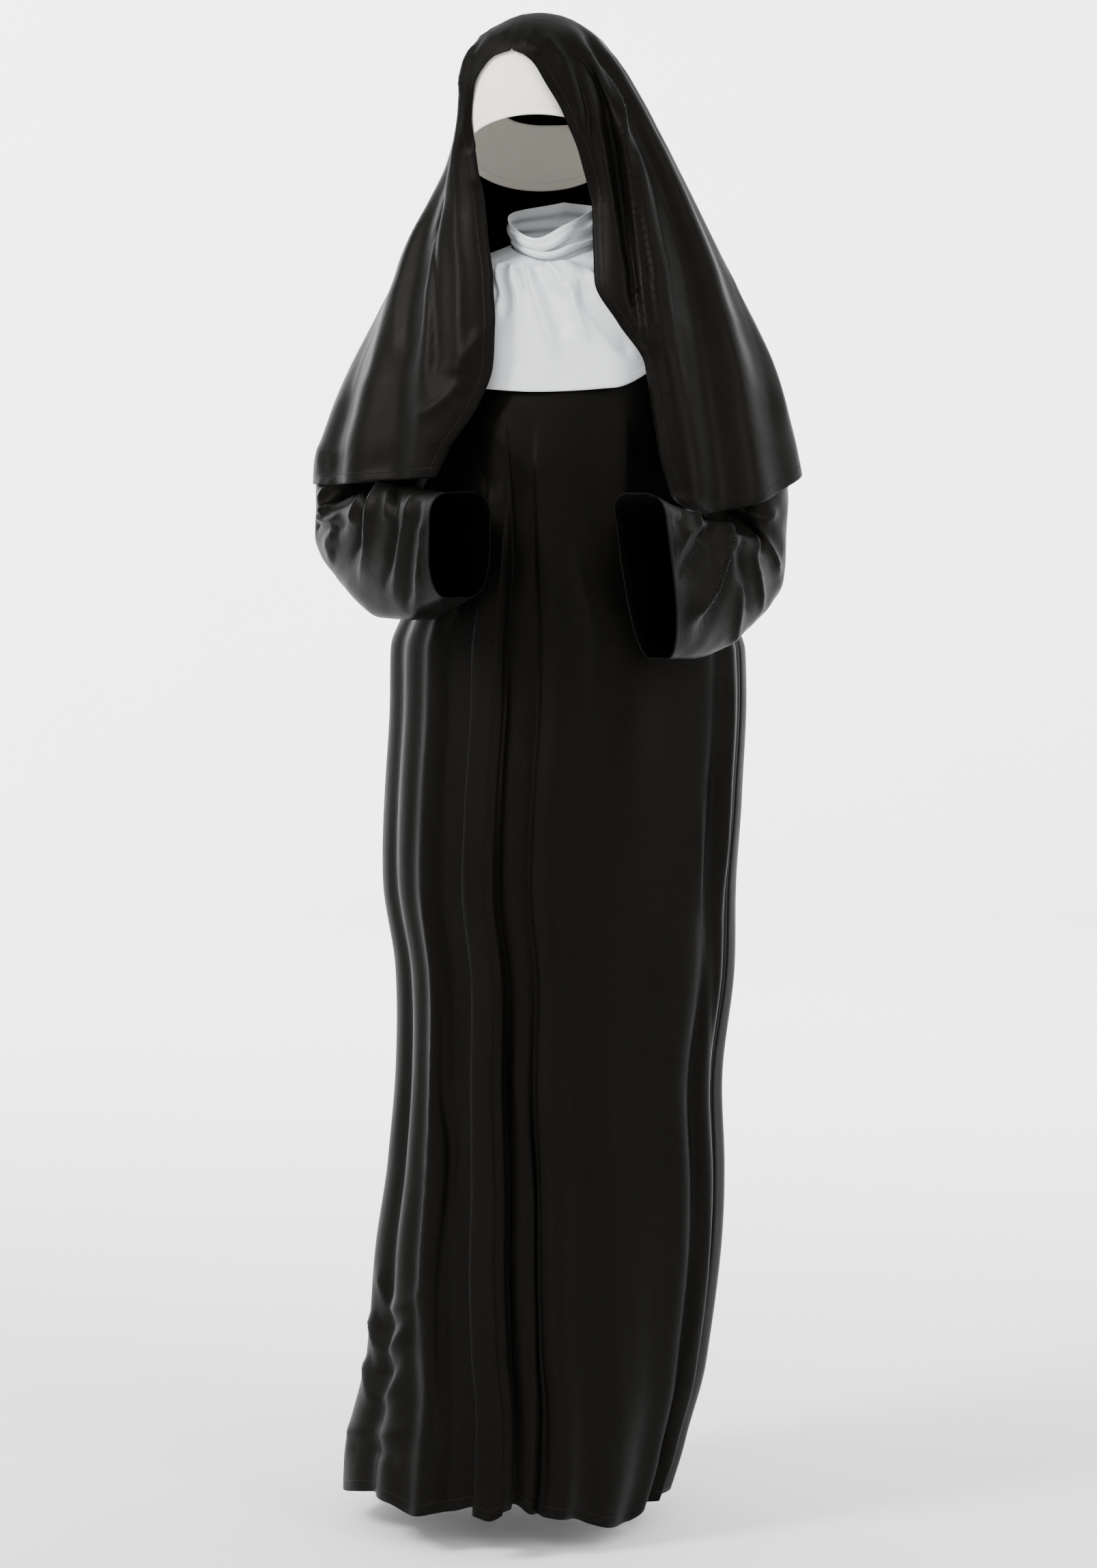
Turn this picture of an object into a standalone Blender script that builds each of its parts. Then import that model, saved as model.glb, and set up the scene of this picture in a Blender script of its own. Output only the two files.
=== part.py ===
"""Nun habit: a long gown in two panels, two wide sleeves, a bib, a neck band, a headband and a veil.

Every piece is a thin wall of cloth. A closed ring, or a part of one, is worked out at each level from a
short table of named sizes; folds are added to it as soft waves or as pleats with steep edges.
Frame: the origin is the middle of the neck hole at shoulder level, +Z up, the front faces -Y.
"""
from collections import namedtuple

import bpy
import numpy as np
from mathutils import Vector
from mathutils.bvhtree import BVHTree

NAME = "nun_habit"
CLOTH = 0.0014          # wall of the black cloth
WHITE = 0.0016          # wall of the white and cream cloth
SIDE_GAP = 0.0008       # gap between the two panels at the side seams
SKIRT_HALF = 0.19       # half width of the skirt, where that gap is taken
SIDE = 90.0             # angle of the side seams from the centre front
FOOT = -1.40            # height where the folds and pleats have opened fully

# Gown.
# down: way down the cloth from the neck; z: height; x, y: middle of the ring;
# wide: half its width; front, back: half depths; tip: how far the front sits lower.
Ring = namedtuple("Ring", "down z x y wide front back tip")
GOWN = (
    Ring(0.000, 0.000, -0.004, -0.008, 0.085, 0.074, 0.070, 0.012),
    Ring(0.040, -0.015, -0.002, -0.004, 0.125, 0.090, 0.086, 0.010),
    Ring(0.080, -0.040, 0.000, 0.000, 0.164, 0.101, 0.098, 0.006),
    Ring(0.115, -0.076, 0.000, 0.000, 0.186, 0.110, 0.106, 0.002),
    Ring(0.155, -0.116, 0.000, 0.000, 0.178, 0.119, 0.114, 0.000),
    Ring(0.215, -0.176, 0.000, 0.000, 0.163, 0.130, 0.124, 0.000),
    Ring(0.275, -0.236, 0.000, 0.000, 0.154, 0.135, 0.129, 0.000),
    Ring(0.335, -0.296, 0.000, 0.000, 0.150, 0.135, 0.131, 0.000),
    Ring(0.385, -0.346, 0.001, 0.000, 0.158, 0.135, 0.132, 0.000),
    Ring(0.435, -0.396, 0.002, 0.000, 0.186, 0.135, 0.133, 0.000),
    Ring(0.475, -0.436, 0.003, 0.000, 0.202, 0.137, 0.135, 0.000),
    Ring(0.525, -0.486, 0.003, 0.001, 0.203, 0.141, 0.138, 0.000),
    Ring(0.640, -0.601, -0.002, -0.001, 0.203, 0.150, 0.146, 0.000),
    Ring(0.740, -0.701, -0.006, -0.002, 0.200, 0.155, 0.150, 0.000),
    Ring(0.840, -0.801, 0.000, 0.000, 0.191, 0.157, 0.153, 0.000),
    Ring(0.960, -0.921, -0.006, -0.003, 0.183, 0.159, 0.156, 0.000),
    Ring(1.060, -1.021, -0.009, -0.005, 0.189, 0.160, 0.158, 0.000),
    Ring(1.160, -1.121, -0.017, -0.010, 0.194, 0.164, 0.162, 0.000),
    Ring(1.290, -1.251, -0.029, -0.018, 0.189, 0.172, 0.170, 0.000),
    Ring(1.380, -1.341, -0.050, -0.029, 0.188, 0.178, 0.176, 0.000),
    Ring(1.450, -1.411, -0.061, -0.036, 0.179, 0.181, 0.180, 0.000),
)
# The lower gown drifts towards -X, so the folds of the front swing across as they fall.
# Angles round the gown are given where the cloth leaves the shoulders; swing is added on the way down.
Swing = namedtuple("Swing", "fall swing")
GOWN_SWING = (
    Swing(0.00, 0.0), Swing(0.50, 0.0), Swing(0.80, 1.7), Swing(1.00, 5.2), Swing(1.20, 12.4),
    Swing(1.38, 26.5), Swing(1.45, 28.0),
)
# The height of the hem at angles round the gown.
Hem = namedtuple("Hem", "angle z")
GOWN_HEM = (
    Hem(-180, -1.392), Hem(-120, -1.398), Hem(-90, -1.402), Hem(-75, -1.398), Hem(-66, -1.390),
    Hem(-57, -1.384), Hem(-49, -1.385), Hem(-41, -1.392), Hem(-34, -1.388), Hem(-28, -1.385),
    Hem(-22, -1.379), Hem(-15.5, -1.387), Hem(-8.5, -1.375), Hem(-1.5, -1.387), Hem(14, -1.392),
    Hem(22.5, -1.401), Hem(33, -1.409), Hem(47, -1.412), Hem(69, -1.399), Hem(90, -1.399),
    Hem(130, -1.396), Hem(180, -1.392),
)
# left, right: the angles of a pleat's two edges; soft: how wide each edge is; top, hem: how far it
# stands out; roll: how far its edges lean over; start: height where it comes out of the cloth.
Pleat = namedtuple("Pleat", "left right soft_left soft_right top hem roll start")
PLEATS = (
    Pleat(-20.0, -10.5, 0.70, 0.50, 0.009, 0.015, 0.0035, -0.22),
    Pleat(-32.5, -20.0, 0.90, 0.70, -0.005, -0.011, 0.0015, -0.25),
    Pleat(170.0, 181.5, 0.90, 0.70, 0.007, 0.014, 0.0025, -0.16),
)
# angle at the top and at the hem, width, height above the cloth at the top and at the hem.
Fold = namedtuple("Fold", "top_angle hem_angle width top hem")
GOWN_FOLDS = (
    Fold(-87, -87, 3.0, -0.002, -0.007),
    Fold(-76, -76, 5.0, 0.002, 0.008),
    Fold(-62, -61, 3.6, -0.003, -0.012),
    Fold(-50, -50, 4.6, 0.001, 0.004),
    Fold(-38, -37, 2.6, 0.004, 0.010),
    Fold(-4, -3.5, 2.6, 0.001, 0.005),
    Fold(2, 2, 1.8, -0.001, -0.007),
    Fold(8, 9, 2.8, 0.002, 0.007),
    Fold(17, 19, 4.2, -0.001, -0.003),
    Fold(29, 32, 6.0, 0.001, 0.004),
    Fold(45, 47, 5.4, -0.001, -0.003),
    Fold(57, 59, 4.4, 0.001, 0.004),
    Fold(69, 69, 2.6, -0.003, -0.010),
    Fold(78, 78, 3.2, 0.003, 0.008),
    Fold(87, 87, 2.4, -0.002, -0.008),
    Fold(99, 101, 4.8, 0.003, 0.010),
    Fold(111, 113, 3.4, -0.003, -0.012),
    Fold(124, 126, 5.0, 0.003, 0.011),
    Fold(138, 137, 4.0, -0.004, -0.014),
    Fold(153, 151, 5.2, 0.002, 0.010),
    Fold(164, 163, 3.2, -0.004, -0.009),
    Fold(194, 195, 4.2, -0.003, -0.012),
    Fold(207, 209, 5.4, 0.003, 0.012),
    Fold(220, 223, 3.8, -0.003, -0.013),
    Fold(234, 236, 5.0, 0.003, 0.010),
    Fold(247, 249, 3.4, -0.002, -0.011),
    Fold(260, 261, 4.4, 0.002, 0.008),
)
FOLD_START = -0.24      # height where the gown's folds begin to show
FOLD_REACH = 0.16       # height over which they open

# Sleeves.
# The armhole is an oval on the gown: its middle and half height along "down", its half width in angle.
ARM_DOWN, ARM_HALF, ARM_ANGLE = 0.188, 0.084, 30.0
ARM_INSET = 0.0016      # the sleeve stands this far inside the armhole
CUT_CLEAR = 0.0024      # the armhole is cut this far outside the sleeve
CUT_INNER = 0.84        # how near to the middle, of 1 at the armhole, the cut starts
# x, y, z: middle of a section; heading, dip: the way the sleeve points there, from straight ahead
# towards +X, and below level; hang: 0 its long side faces back, 1 it hangs down;
# low, high, inner, outer: how far the cloth is from the middle on those sides.
Section = namedtuple("Section", "x y z heading dip hang low high inner outer")
SLEEVE_RIGHT = (
    Section(-0.199, -0.003, -0.188, -87, 31, 0.00, 0.066, 0.066, 0.068, 0.068),
    Section(-0.216, -0.008, -0.225, -81, 49, 0.10, 0.062, 0.060, 0.058, 0.065),
    Section(-0.226, -0.018, -0.262, -57, 64, 0.30, 0.058, 0.046, 0.052, 0.067),
    Section(-0.222, -0.034, -0.298, 14, 44, 0.60, 0.060, 0.036, 0.048, 0.060),
    Section(-0.195, -0.072, -0.300, 36, 22, 0.85, 0.080, 0.048, 0.043, 0.050),
    Section(-0.158, -0.113, -0.301, 42, 8, 1.00, 0.098, 0.049, 0.041, 0.046),
    Section(-0.122, -0.150, -0.301, 45, 4, 1.00, 0.098, 0.045, 0.040, 0.044),
    Section(-0.088, -0.184, -0.300, 48, 3, 1.00, 0.085, 0.041, 0.040, 0.041),
    Section(-0.057, -0.213, -0.298, 52, 2, 1.00, 0.074, 0.041, 0.041, 0.040),
)
SLEEVE_LEFT = (
    Section(0.194, -0.002, -0.190, 87, 33, 0.00, 0.064, 0.064, 0.066, 0.060),
    Section(0.204, -0.006, -0.234, 80, 56, 0.10, 0.060, 0.056, 0.052, 0.051),
    Section(0.208, -0.014, -0.280, 50, 72, 0.30, 0.056, 0.044, 0.048, 0.048),
    Section(0.206, -0.030, -0.330, -4, 46, 0.60, 0.062, 0.034, 0.044, 0.047),
    Section(0.200, -0.082, -0.330, -12, 24, 0.85, 0.084, 0.034, 0.039, 0.042),
    Section(0.187, -0.142, -0.318, -14, 19, 1.00, 0.116, 0.033, 0.036, 0.039),
    Section(0.171, -0.200, -0.304, -16, 16, 1.00, 0.138, 0.032, 0.033, 0.036),
    Section(0.154, -0.252, -0.289, -18, 14, 1.00, 0.150, 0.032, 0.030, 0.034),
)
# Folds run along a line on the sleeve: side (degrees round it, 0 low, 90 inner, 180 high, 270 outer)
# and along (0 armhole, 1 cuff) at both ends; width in metres; height.
Crease = namedtuple("Crease", "side_a along_a side_b along_b width height")
RIGHT_FOLDS = (
    Crease(215, 0.42, 300, 0.36, 0.010, 0.007),
    Crease(205, 0.47, 312, 0.46, 0.009, -0.006),
    Crease(210, 0.52, 330, 0.54, 0.010, 0.007),
    Crease(215, 0.58, 345, 0.64, 0.011, 0.006),
    Crease(225, 0.67, 350, 0.74, 0.011, -0.005),
    Crease(235, 0.80, 355, 0.86, 0.011, 0.006),
    Crease(30, 0.50, 130, 0.42, 0.012, 0.006),
)
LEFT_FOLDS = (
    Crease(215, 0.40, 300, 0.38, 0.010, -0.005),
    Crease(205, 0.49, 318, 0.47, 0.010, 0.008),
    Crease(205, 0.57, 335, 0.58, 0.010, -0.006),
    Crease(215, 0.66, 345, 0.68, 0.011, 0.008),
    Crease(225, 0.78, 352, 0.80, 0.011, 0.007),
    Crease(230, 0.90, 320, 0.95, 0.010, 0.006),
    Crease(30, 0.50, 130, 0.42, 0.012, 0.006),
)

# Veil.
# One ring a level: left and right are the half widths, left_edge and right_edge the angles of its
# two front edges. Where both are the same the ring is closed.
Level = namedtuple("Level", "z x y left right front back left_edge right_edge")
VEIL = (
    Level(0.2750, -0.021, -0.020, 0.004, 0.004, 0.004, 0.004, -5.0, -5.0),
    Level(0.2700, -0.021, -0.020, 0.026, 0.027, 0.036, 0.036, -5.0, -5.0),
    Level(0.2600, -0.021, -0.021, 0.046, 0.047, 0.060, 0.058, -5.0, -5.0),
    Level(0.2450, -0.020, -0.023, 0.067, 0.066, 0.080, 0.077, -5.0, -5.0),
    Level(0.2320, -0.020, -0.024, 0.076, 0.076, 0.089, 0.086, -5.0, -5.0),
    Level(0.2250, -0.020, -0.025, 0.080, 0.082, 0.0915, 0.089, -5.0, -5.0),
    Level(0.2190, -0.020, -0.025, 0.082, 0.086, 0.0930, 0.091, -20.0, 4.0),
    Level(0.2080, -0.020, -0.025, 0.085, 0.094, 0.0945, 0.093, -30.0, 11.5),
    Level(0.1900, -0.020, -0.025, 0.090, 0.105, 0.0955, 0.096, -38.0, 16.5),
    Level(0.1550, -0.020, -0.025, 0.0925, 0.125, 0.096, 0.100, -43.0, 24.0),
    Level(0.1090, -0.018, -0.018, 0.1080, 0.146, 0.100, 0.108, -32.0, 27.0),
    Level(0.0640, -0.013, -0.010, 0.1390, 0.163, 0.106, 0.116, -22.0, 26.5),
    Level(0.0180, -0.007, -0.004, 0.1715, 0.179, 0.118, 0.124, -17.0, 23.5),
    Level(-0.0280, 0.000, 0.000, 0.2020, 0.194, 0.134, 0.132, -13.5, 21.0),
    Level(-0.0740, 0.000, 0.000, 0.2235, 0.2155, 0.146, 0.140, -10.5, 27.0),
    Level(-0.1200, 0.000, 0.000, 0.2460, 0.2360, 0.154, 0.147, -9.5, 33.0),
    Level(-0.1660, 0.000, 0.000, 0.2660, 0.2520, 0.160, 0.153, -12.5, 33.0),
    Level(-0.2120, 0.000, 0.000, 0.2810, 0.2650, 0.168, 0.158, -18.0, 33.5),
    Level(-0.2700, 0.000, 0.000, 0.2850, 0.2740, 0.176, 0.164, -22.0, 36.0),
    Level(-0.3700, 0.000, 0.000, 0.2700, 0.2600, 0.180, 0.172, -24.0, 38.0),
)
# Angles here run from the left edge round the back to the right edge.
VEIL_HEM = (
    Hem(-342, -0.284), Hem(-322, -0.284), Hem(-300, -0.272), Hem(-270, -0.240), Hem(-255, -0.227),
    Hem(-225, -0.285), Hem(-180, -0.350), Hem(-140, -0.300), Hem(-105, -0.250), Hem(-90, -0.249),
    Hem(-65, -0.250), Hem(-40, -0.247), Hem(-18, -0.242), Hem(0, -0.240),
)
VEIL_SPLIT = -0.028     # above this the rows are level, below they lean towards the hem
CROWN_SMOOTH = 0.262    # above this the veil has no folds
VEIL_FOLDS = (
    Fold(-52, -24, 5.0, 0.006, 0.010),
    Fold(-68, -34, 5.0, -0.003, -0.009),
    Fold(-84, -47, 6.5, 0.002, 0.008),
    Fold(-98, -62, 6.0, -0.002, -0.009),
    Fold(-112, -78, 7.0, 0.002, 0.006),
    Fold(-126, -98, 6.5, -0.002, -0.009),
    Fold(-140, -118, 6.5, 0.003, 0.011),
    Fold(-153, -138, 6.0, -0.003, -0.012),
    Fold(-167, -157, 6.5, 0.003, 0.012),
    Fold(-181, -178, 6.0, -0.003, -0.013),
    Fold(-195, -197, 6.5, 0.003, 0.012),
    Fold(-209, -216, 6.0, -0.003, -0.012),
    Fold(-222, -235, 6.5, 0.003, 0.011),
    Fold(-236, -254, 6.0, -0.003, -0.010),
    Fold(-250, -270, 6.5, 0.003, 0.005),
    Fold(-264, -285, 5.5, -0.003, -0.004),
    Fold(-277, -299, 5.5, 0.004, 0.006),
    Fold(-291, -310, 5.0, -0.010, -0.009),
    Fold(-307, -319, 5.0, 0.008, 0.010),
)

# White pieces.
# The bib runs from the neck band to an edge on the gown, given as "down" at angles round it.
BIB_EDGE = (
    Hem(-180, 0.170), Hem(-150, 0.165), Hem(-90, 0.092), Hem(-60, 0.128), Hem(-30, 0.180),
    Hem(0, 0.188), Hem(30, 0.184), Hem(60, 0.130), Hem(90, 0.092), Hem(150, 0.165), Hem(180, 0.170),
)
BIB_LIFT = 0.0050       # its outer face above the gown's
BIB_EASE = 0.0022       # how much further it stands off near the neck
BIB_START = 0.004       # way down the gown where it leaves the neck band
BIB_NECK = 0.0022       # its top edge outside the neck band
BIB_FOLDS = (
    Fold(-75, -62, 6.0, 0.003, 0.002),
    Fold(-44, -30, 5.0, -0.001, -0.001),
    Fold(-30, -12, 5.0, 0.004, 0.003),
    Fold(-8, 8, 5.0, -0.001, -0.001),
    Fold(12, 30, 5.0, 0.005, 0.004),
    Fold(40, 52, 6.0, 0.003, 0.002),
    Fold(150, 160, 8.0, 0.003, 0.003),
    Fold(205, 200, 8.0, 0.003, 0.003),
)
NECK_X, NECK_Y = -0.002, -0.020
# up: way up the neck band; wide, front, back: half sizes; x, y: lean of its middle.
Neck = namedtuple("Neck", "up wide front back x y")
NECK = (
    Neck(0.00, 0.0520, 0.0560, 0.0520, 0.002, 0.001),
    Neck(0.18, 0.0505, 0.0545, 0.0510, 0.001, 0.001),
    Neck(0.34, 0.0535, 0.0575, 0.0530, 0.001, 0.000),
    Neck(0.50, 0.0490, 0.0525, 0.0495, 0.000, 0.000),
    Neck(0.66, 0.0515, 0.0550, 0.0510, -0.002, -0.002),
    Neck(0.82, 0.0475, 0.0515, 0.0480, -0.003, -0.004),
    Neck(1.00, 0.0490, 0.0520, 0.0490, -0.005, -0.006),
)
NECK_LOW = (Hem(-180, 0.020), Hem(-90, 0.016), Hem(-40, 0.004), Hem(12, -0.008), Hem(50, 0.003),
            Hem(90, 0.014), Hem(180, 0.020))
NECK_HIGH = (Hem(-180, 0.068), Hem(-90, 0.052), Hem(-45, 0.035), Hem(-3, 0.022), Hem(35, 0.037),
             Hem(90, 0.056), Hem(180, 0.068))
BAND_X, BAND_Y = -0.0225, -0.025
BAND_TILT_X, BAND_TILT_Y = 0.12, -0.38   # slope of its lower edge to the side and to the back
BAND_LOW, BAND_HIGH = 0.153, 0.236       # its edges at the centre front
BAND_DROP = 0.078                        # how far its upper edge comes down at the back
Band = namedtuple("Band", "up wide front back")
BAND = (
    Band(0.00, 0.0820, 0.0895, 0.0880),
    Band(0.25, 0.0825, 0.0905, 0.0880),
    Band(0.50, 0.0812, 0.0902, 0.0875),
    Band(0.75, 0.0770, 0.0882, 0.0870),
    Band(1.00, 0.0680, 0.0812, 0.0860),
)

MATERIALS = {
    "black_satin": (0.012, 0.011, 0.012),
    "white_satin": (0.80, 0.81, 0.83),
    "cream_jersey": (0.86, 0.82, 0.70),
}


# Curves.
def curve(rows, column, at, key=None):
    """The named column of a table at any place, as a smooth curve through its rows."""
    x = np.array([getattr(row, key or row._fields[0]) for row in rows], float)
    y = np.array([getattr(row, column) for row in rows], float)
    return through(x, y, np.asarray(at, float))


def through(x, y, at):
    """A curve through points that never swings past them. y may hold many columns."""
    step = np.diff(x)
    step = step.reshape((-1,) + (1,) * (y.ndim - 1))
    slope = np.diff(y, axis=0) / step
    tangent = np.zeros_like(y)
    tangent[0], tangent[-1] = slope[0], slope[-1]
    before, after = slope[:-1], slope[1:]
    near, far = 2 * step[1:] + step[:-1], step[1:] + 2 * step[:-1]
    with np.errstate(divide="ignore", invalid="ignore"):
        mean = (near + far) / (near / before + far / after)
    tangent[1:-1] = np.where(before * after > 0, mean, 0.0)
    at = np.clip(at, x[0], x[-1])
    i = np.clip(np.searchsorted(x, at, side="right") - 1, 0, len(x) - 2)
    h = step[i]
    t = ((at - x[i]) / np.diff(x)[i]).reshape(h.shape if y.ndim > 1 else np.shape(at))
    h = h if y.ndim > 1 else np.diff(x)[i]
    return (
        (1 + 2 * t) * (1 - t) ** 2 * y[i]
        + t * (1 - t) ** 2 * h * tangent[i]
        + t * t * (3 - 2 * t) * y[i + 1]
        + t * t * (t - 1) * h * tangent[i + 1]
    )


def ease(t):
    """0 below 0, 1 above 1 and smooth between."""
    t = np.clip(t, 0.0, 1.0)
    return t * t * (3 - 2 * t)


def wrapped(angle):
    """An angle brought to between -180 and 180."""
    return (angle + 180.0) % 360.0 - 180.0


def bump(distance, width):
    """1 at no distance, falling off softly over the width."""
    return np.exp(-0.5 * (distance / width) ** 2)


# Gown.
def gown_relief(angle, z):
    """How far the cloth stands out, and how far it leans sideways, at an angle and a height."""
    out = np.zeros(np.broadcast(angle, z).shape)
    lean = np.zeros_like(out)
    share = np.clip((FOLD_START - z) / (FOLD_START - FOOT), 0.0, 1.0)
    opened = ease((FOLD_START - z) / FOLD_REACH)
    for fold in GOWN_FOLDS:
        middle = fold.top_angle + (fold.hem_angle - fold.top_angle) * share
        height = fold.top + (fold.hem - fold.top) * share
        out = out + opened * height * bump(wrapped(angle - middle), fold.width)
    for pleat in PLEATS:
        share = np.clip((pleat.start - z) / (pleat.start - FOOT), 0.0, 1.0)
        opened = ease((pleat.start - z) / FOLD_REACH)
        height = opened * (pleat.top + (pleat.hem - pleat.top) * share)
        left = wrapped(angle - pleat.left) / pleat.soft_left
        right = wrapped(angle - pleat.right) / pleat.soft_right
        out = out + height * 0.5 * (np.tanh(left) - np.tanh(right))
        lip_left = left * np.exp(0.5 * (1 - left**2))
        lip_right = right * np.exp(0.5 * (1 - right**2))
        roll = opened * pleat.roll * (0.2 + 0.8 * share)
        lean = lean + roll * (lip_right - lip_left) * np.sign(pleat.hem)
    return out, lean


def gown_point(angle, down):
    """A point of the gown's outer face. angle 0 is the centre front, 90 the side at +X."""
    angle, down = np.broadcast_arrays(np.asarray(angle, float), np.asarray(down, float))
    z = curve(GOWN, "z", down)
    swing = curve(GOWN_SWING, "swing", -z) * np.maximum(1.0 - (wrapped(angle) / SIDE) ** 2, 0.0)
    a = np.radians(angle + swing)
    s, c = np.sin(a), np.cos(a)
    wide = curve(GOWN, "wide", down)
    front = curve(GOWN, "front", down)
    back = curve(GOWN, "back", down)
    deep = np.where(c >= 0, front, back)
    z = z - curve(GOWN, "tip", down) * c
    out, lean = gown_relief(angle, z)
    n = np.stack([s / wide, -c / deep], -1)
    n /= np.linalg.norm(n, axis=-1, keepdims=True)
    x = curve(GOWN, "x", down) + wide * s + n[..., 0] * out - n[..., 1] * lean
    y = curve(GOWN, "y", down) - deep * c + n[..., 1] * out + n[..., 0] * lean
    return np.stack([x, y, z], -1)


def gown_down(angle, share):
    """The way down at a share (0 neck, 1 hem) on each angle, so that the last row is the hem."""
    hem = curve(GOWN_HEM, "z", wrapped(angle), key="angle")
    return share * (GOWN[-1].down + GOWN[-1].z - hem)


def armhole(side, turn, grow=0.0):
    """The armhole's edge on the gown. turn 0 is its back, 90 its lowest point."""
    t = np.radians(turn)
    down = ARM_DOWN + (ARM_HALF + grow) * np.sin(t)
    angle = SIDE + (ARM_ANGLE + np.degrees(grow / 0.13)) * np.cos(t)
    return gown_point(side * angle, down)


# Sleeves.
def section_ring(row, side, turn):
    """One ring of a sleeve about its middle."""
    head, dip = np.radians(row.heading), np.radians(row.dip)
    along = np.array([np.sin(head) * np.cos(dip), -np.cos(head) * np.cos(dip), -np.sin(dip)])
    hint = (1 - row.hang) * np.array([0.58 * side, 0.81, 0.0]) + row.hang * np.array([0.0, 0.0, -1.0])
    low = hint - (hint @ along) * along
    low /= np.linalg.norm(low)
    inner = np.cross(along, low) * -side
    t = np.radians(turn)
    c, s = np.cos(t), np.sin(t)
    # A hanging ring is a little fuller at its sides than an ellipse.
    full = 1 + 0.16 * row.hang * s * s * c * c * 4
    reach_low = np.where(c > 0, row.low, row.high) * c
    reach_side = np.where(s > 0, row.inner, row.outer) * s
    return (
        np.array([row.x, row.y, row.z])
        + (reach_low * full)[..., None] * low
        + (reach_side * full)[..., None] * inner
    )


def sleeve_point(side, turn, along):
    """Points of a sleeve's outer face: turn goes round it, along runs from the armhole to the cuff."""
    turn = np.asarray(turn, float)
    sections = SLEEVE_RIGHT if side < 0 else SLEEVE_LEFT
    rings = [armhole(side, turn, -ARM_INSET)] + [section_ring(row, side, turn) for row in sections]
    rings = np.array(rings)
    middles = rings.mean(axis=1)
    steps = np.linalg.norm(np.diff(middles, axis=0), axis=1)
    place = np.concatenate([[0.0], np.cumsum(steps)])
    place /= place[-1]
    return through(place, rings, np.asarray(along, float))


def sleeve_grid(side, turns, alongs):
    """Rows of a sleeve's outer face with its folds."""
    points = sleeve_point(side, turns, alongs)
    normal = grid_normals(points, True)
    around = np.linalg.norm(np.roll(points, -1, axis=1) - points, axis=2).sum(axis=1)
    length = np.linalg.norm(np.diff(points, axis=0), axis=2).sum(axis=0).mean()
    out = np.zeros(points.shape[:2])
    for fold in RIGHT_FOLDS if side < 0 else LEFT_FOLDS:
        across = np.array([fold.side_b - fold.side_a, fold.along_b - fold.along_a])
        scale = np.array([around.mean() / 360.0, length])
        way = across * scale
        du = wrapped(turns[None, :] - fold.side_a) * scale[0]
        dv = (alongs[:, None] - fold.along_a) * scale[1]
        share = np.clip((du * way[0] + dv * way[1]) / (way @ way), 0.0, 1.0)
        gap = np.hypot(du - share * way[0], dv - share * way[1])
        middle = 0.55 + 0.45 * np.sin(np.pi * share)
        out += fold.height * middle * bump(gap, fold.width)
    fade = ease(alongs / 0.22) * (0.35 + 0.65 * ease((1 - alongs) / 0.06))
    return points + normal * (out * fade[:, None])[..., None]


# Veil.
def veil_point(angle, z):
    """A point of the veil's outer face. angle runs from the left front edge, through -180 at the
    back, to the right front edge near -340."""
    angle, z = np.broadcast_arrays(np.asarray(angle, float), np.asarray(z, float))
    a = np.radians(angle)
    s, c = np.sin(a), np.cos(a)
    fall = -z
    rows = VEIL_ROWS
    left, right = curve(rows, "left", fall), curve(rows, "right", fall)
    front, back = curve(rows, "front", fall), curve(rows, "back", fall)
    wide = np.where(s < 0, left, right)
    deep = np.where(c >= 0, front, back)
    share = np.clip((0.20 - z) / 0.42, 0.0, 1.0)
    strength = ease((CROWN_SMOOTH - z) / 0.05)
    out = np.zeros(angle.shape)
    for fold in VEIL_FOLDS:
        middle = fold.top_angle + (fold.hem_angle - fold.top_angle) * ease(share)
        height = fold.top + (fold.hem - fold.top) * share
        out = out + height * bump(angle - middle, fold.width)
    # The front edges turn in a little.
    edge_left = curve(rows, "left_edge", fall) - angle
    edge_right = angle + 360.0 - curve(rows, "right_edge", fall)
    turned = ease((0.20 - z) / 0.05)
    out = out - turned * (0.007 * bump(edge_left, 3.2) + 0.008 * bump(edge_right, 3.2))
    n = np.stack([s / wide, -c / deep], -1)
    n /= np.linalg.norm(n, axis=-1, keepdims=True)
    x = curve(rows, "x", fall) + wide * s + n[..., 0] * out * strength
    y = curve(rows, "y", fall) - deep * c + n[..., 1] * out * strength
    return np.stack([x, y, z], -1)


Fall = namedtuple("Fall", "fall x y left right front back left_edge right_edge")
VEIL_ROWS = tuple(Fall(-row.z, *row[1:]) for row in VEIL)


def veil_angles(stations, z):
    """The stations (0 to 1) as angles at a height, between the two front edges there."""
    left = curve(VEIL_ROWS, "left_edge", -z)
    right = curve(VEIL_ROWS, "right_edge", -z) - 360.0
    return left + (right - left) * stations


def veil_grid(stations, levels, falls):
    """Rows of the veil: level ones at each height in levels, then rows down to the hem at falls."""
    upper = [veil_point(veil_angles(stations, z), z) for z in levels]
    lower = []
    for share in falls:
        z = np.full_like(stations, VEIL_SPLIT)
        for _ in range(6):
            hem = curve(VEIL_HEM, "z", veil_angles(stations, z), key="angle")
            z = VEIL_SPLIT + (hem - VEIL_SPLIT) * share
        lower.append(veil_point(veil_angles(stations, z), z))
    return np.array(upper + lower)


# White pieces.
def neck_point(angle, up):
    """A point of the neck band's outer face. angle 0 is the centre front, up runs from 0 to 1."""
    angle, up = np.broadcast_arrays(np.asarray(angle, float), np.asarray(up, float))
    a = np.radians(angle)
    s, c = np.sin(a), np.cos(a)
    deep = np.where(c >= 0, curve(NECK, "front", up), curve(NECK, "back", up))
    low = curve(NECK_LOW, "z", wrapped(angle), key="angle")
    high = curve(NECK_HIGH, "z", wrapped(angle), key="angle")
    x = NECK_X + curve(NECK, "x", up) + curve(NECK, "wide", up) * s
    y = NECK_Y + curve(NECK, "y", up) - deep * c
    return np.stack([x, y, low + (high - low) * up], -1)


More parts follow.
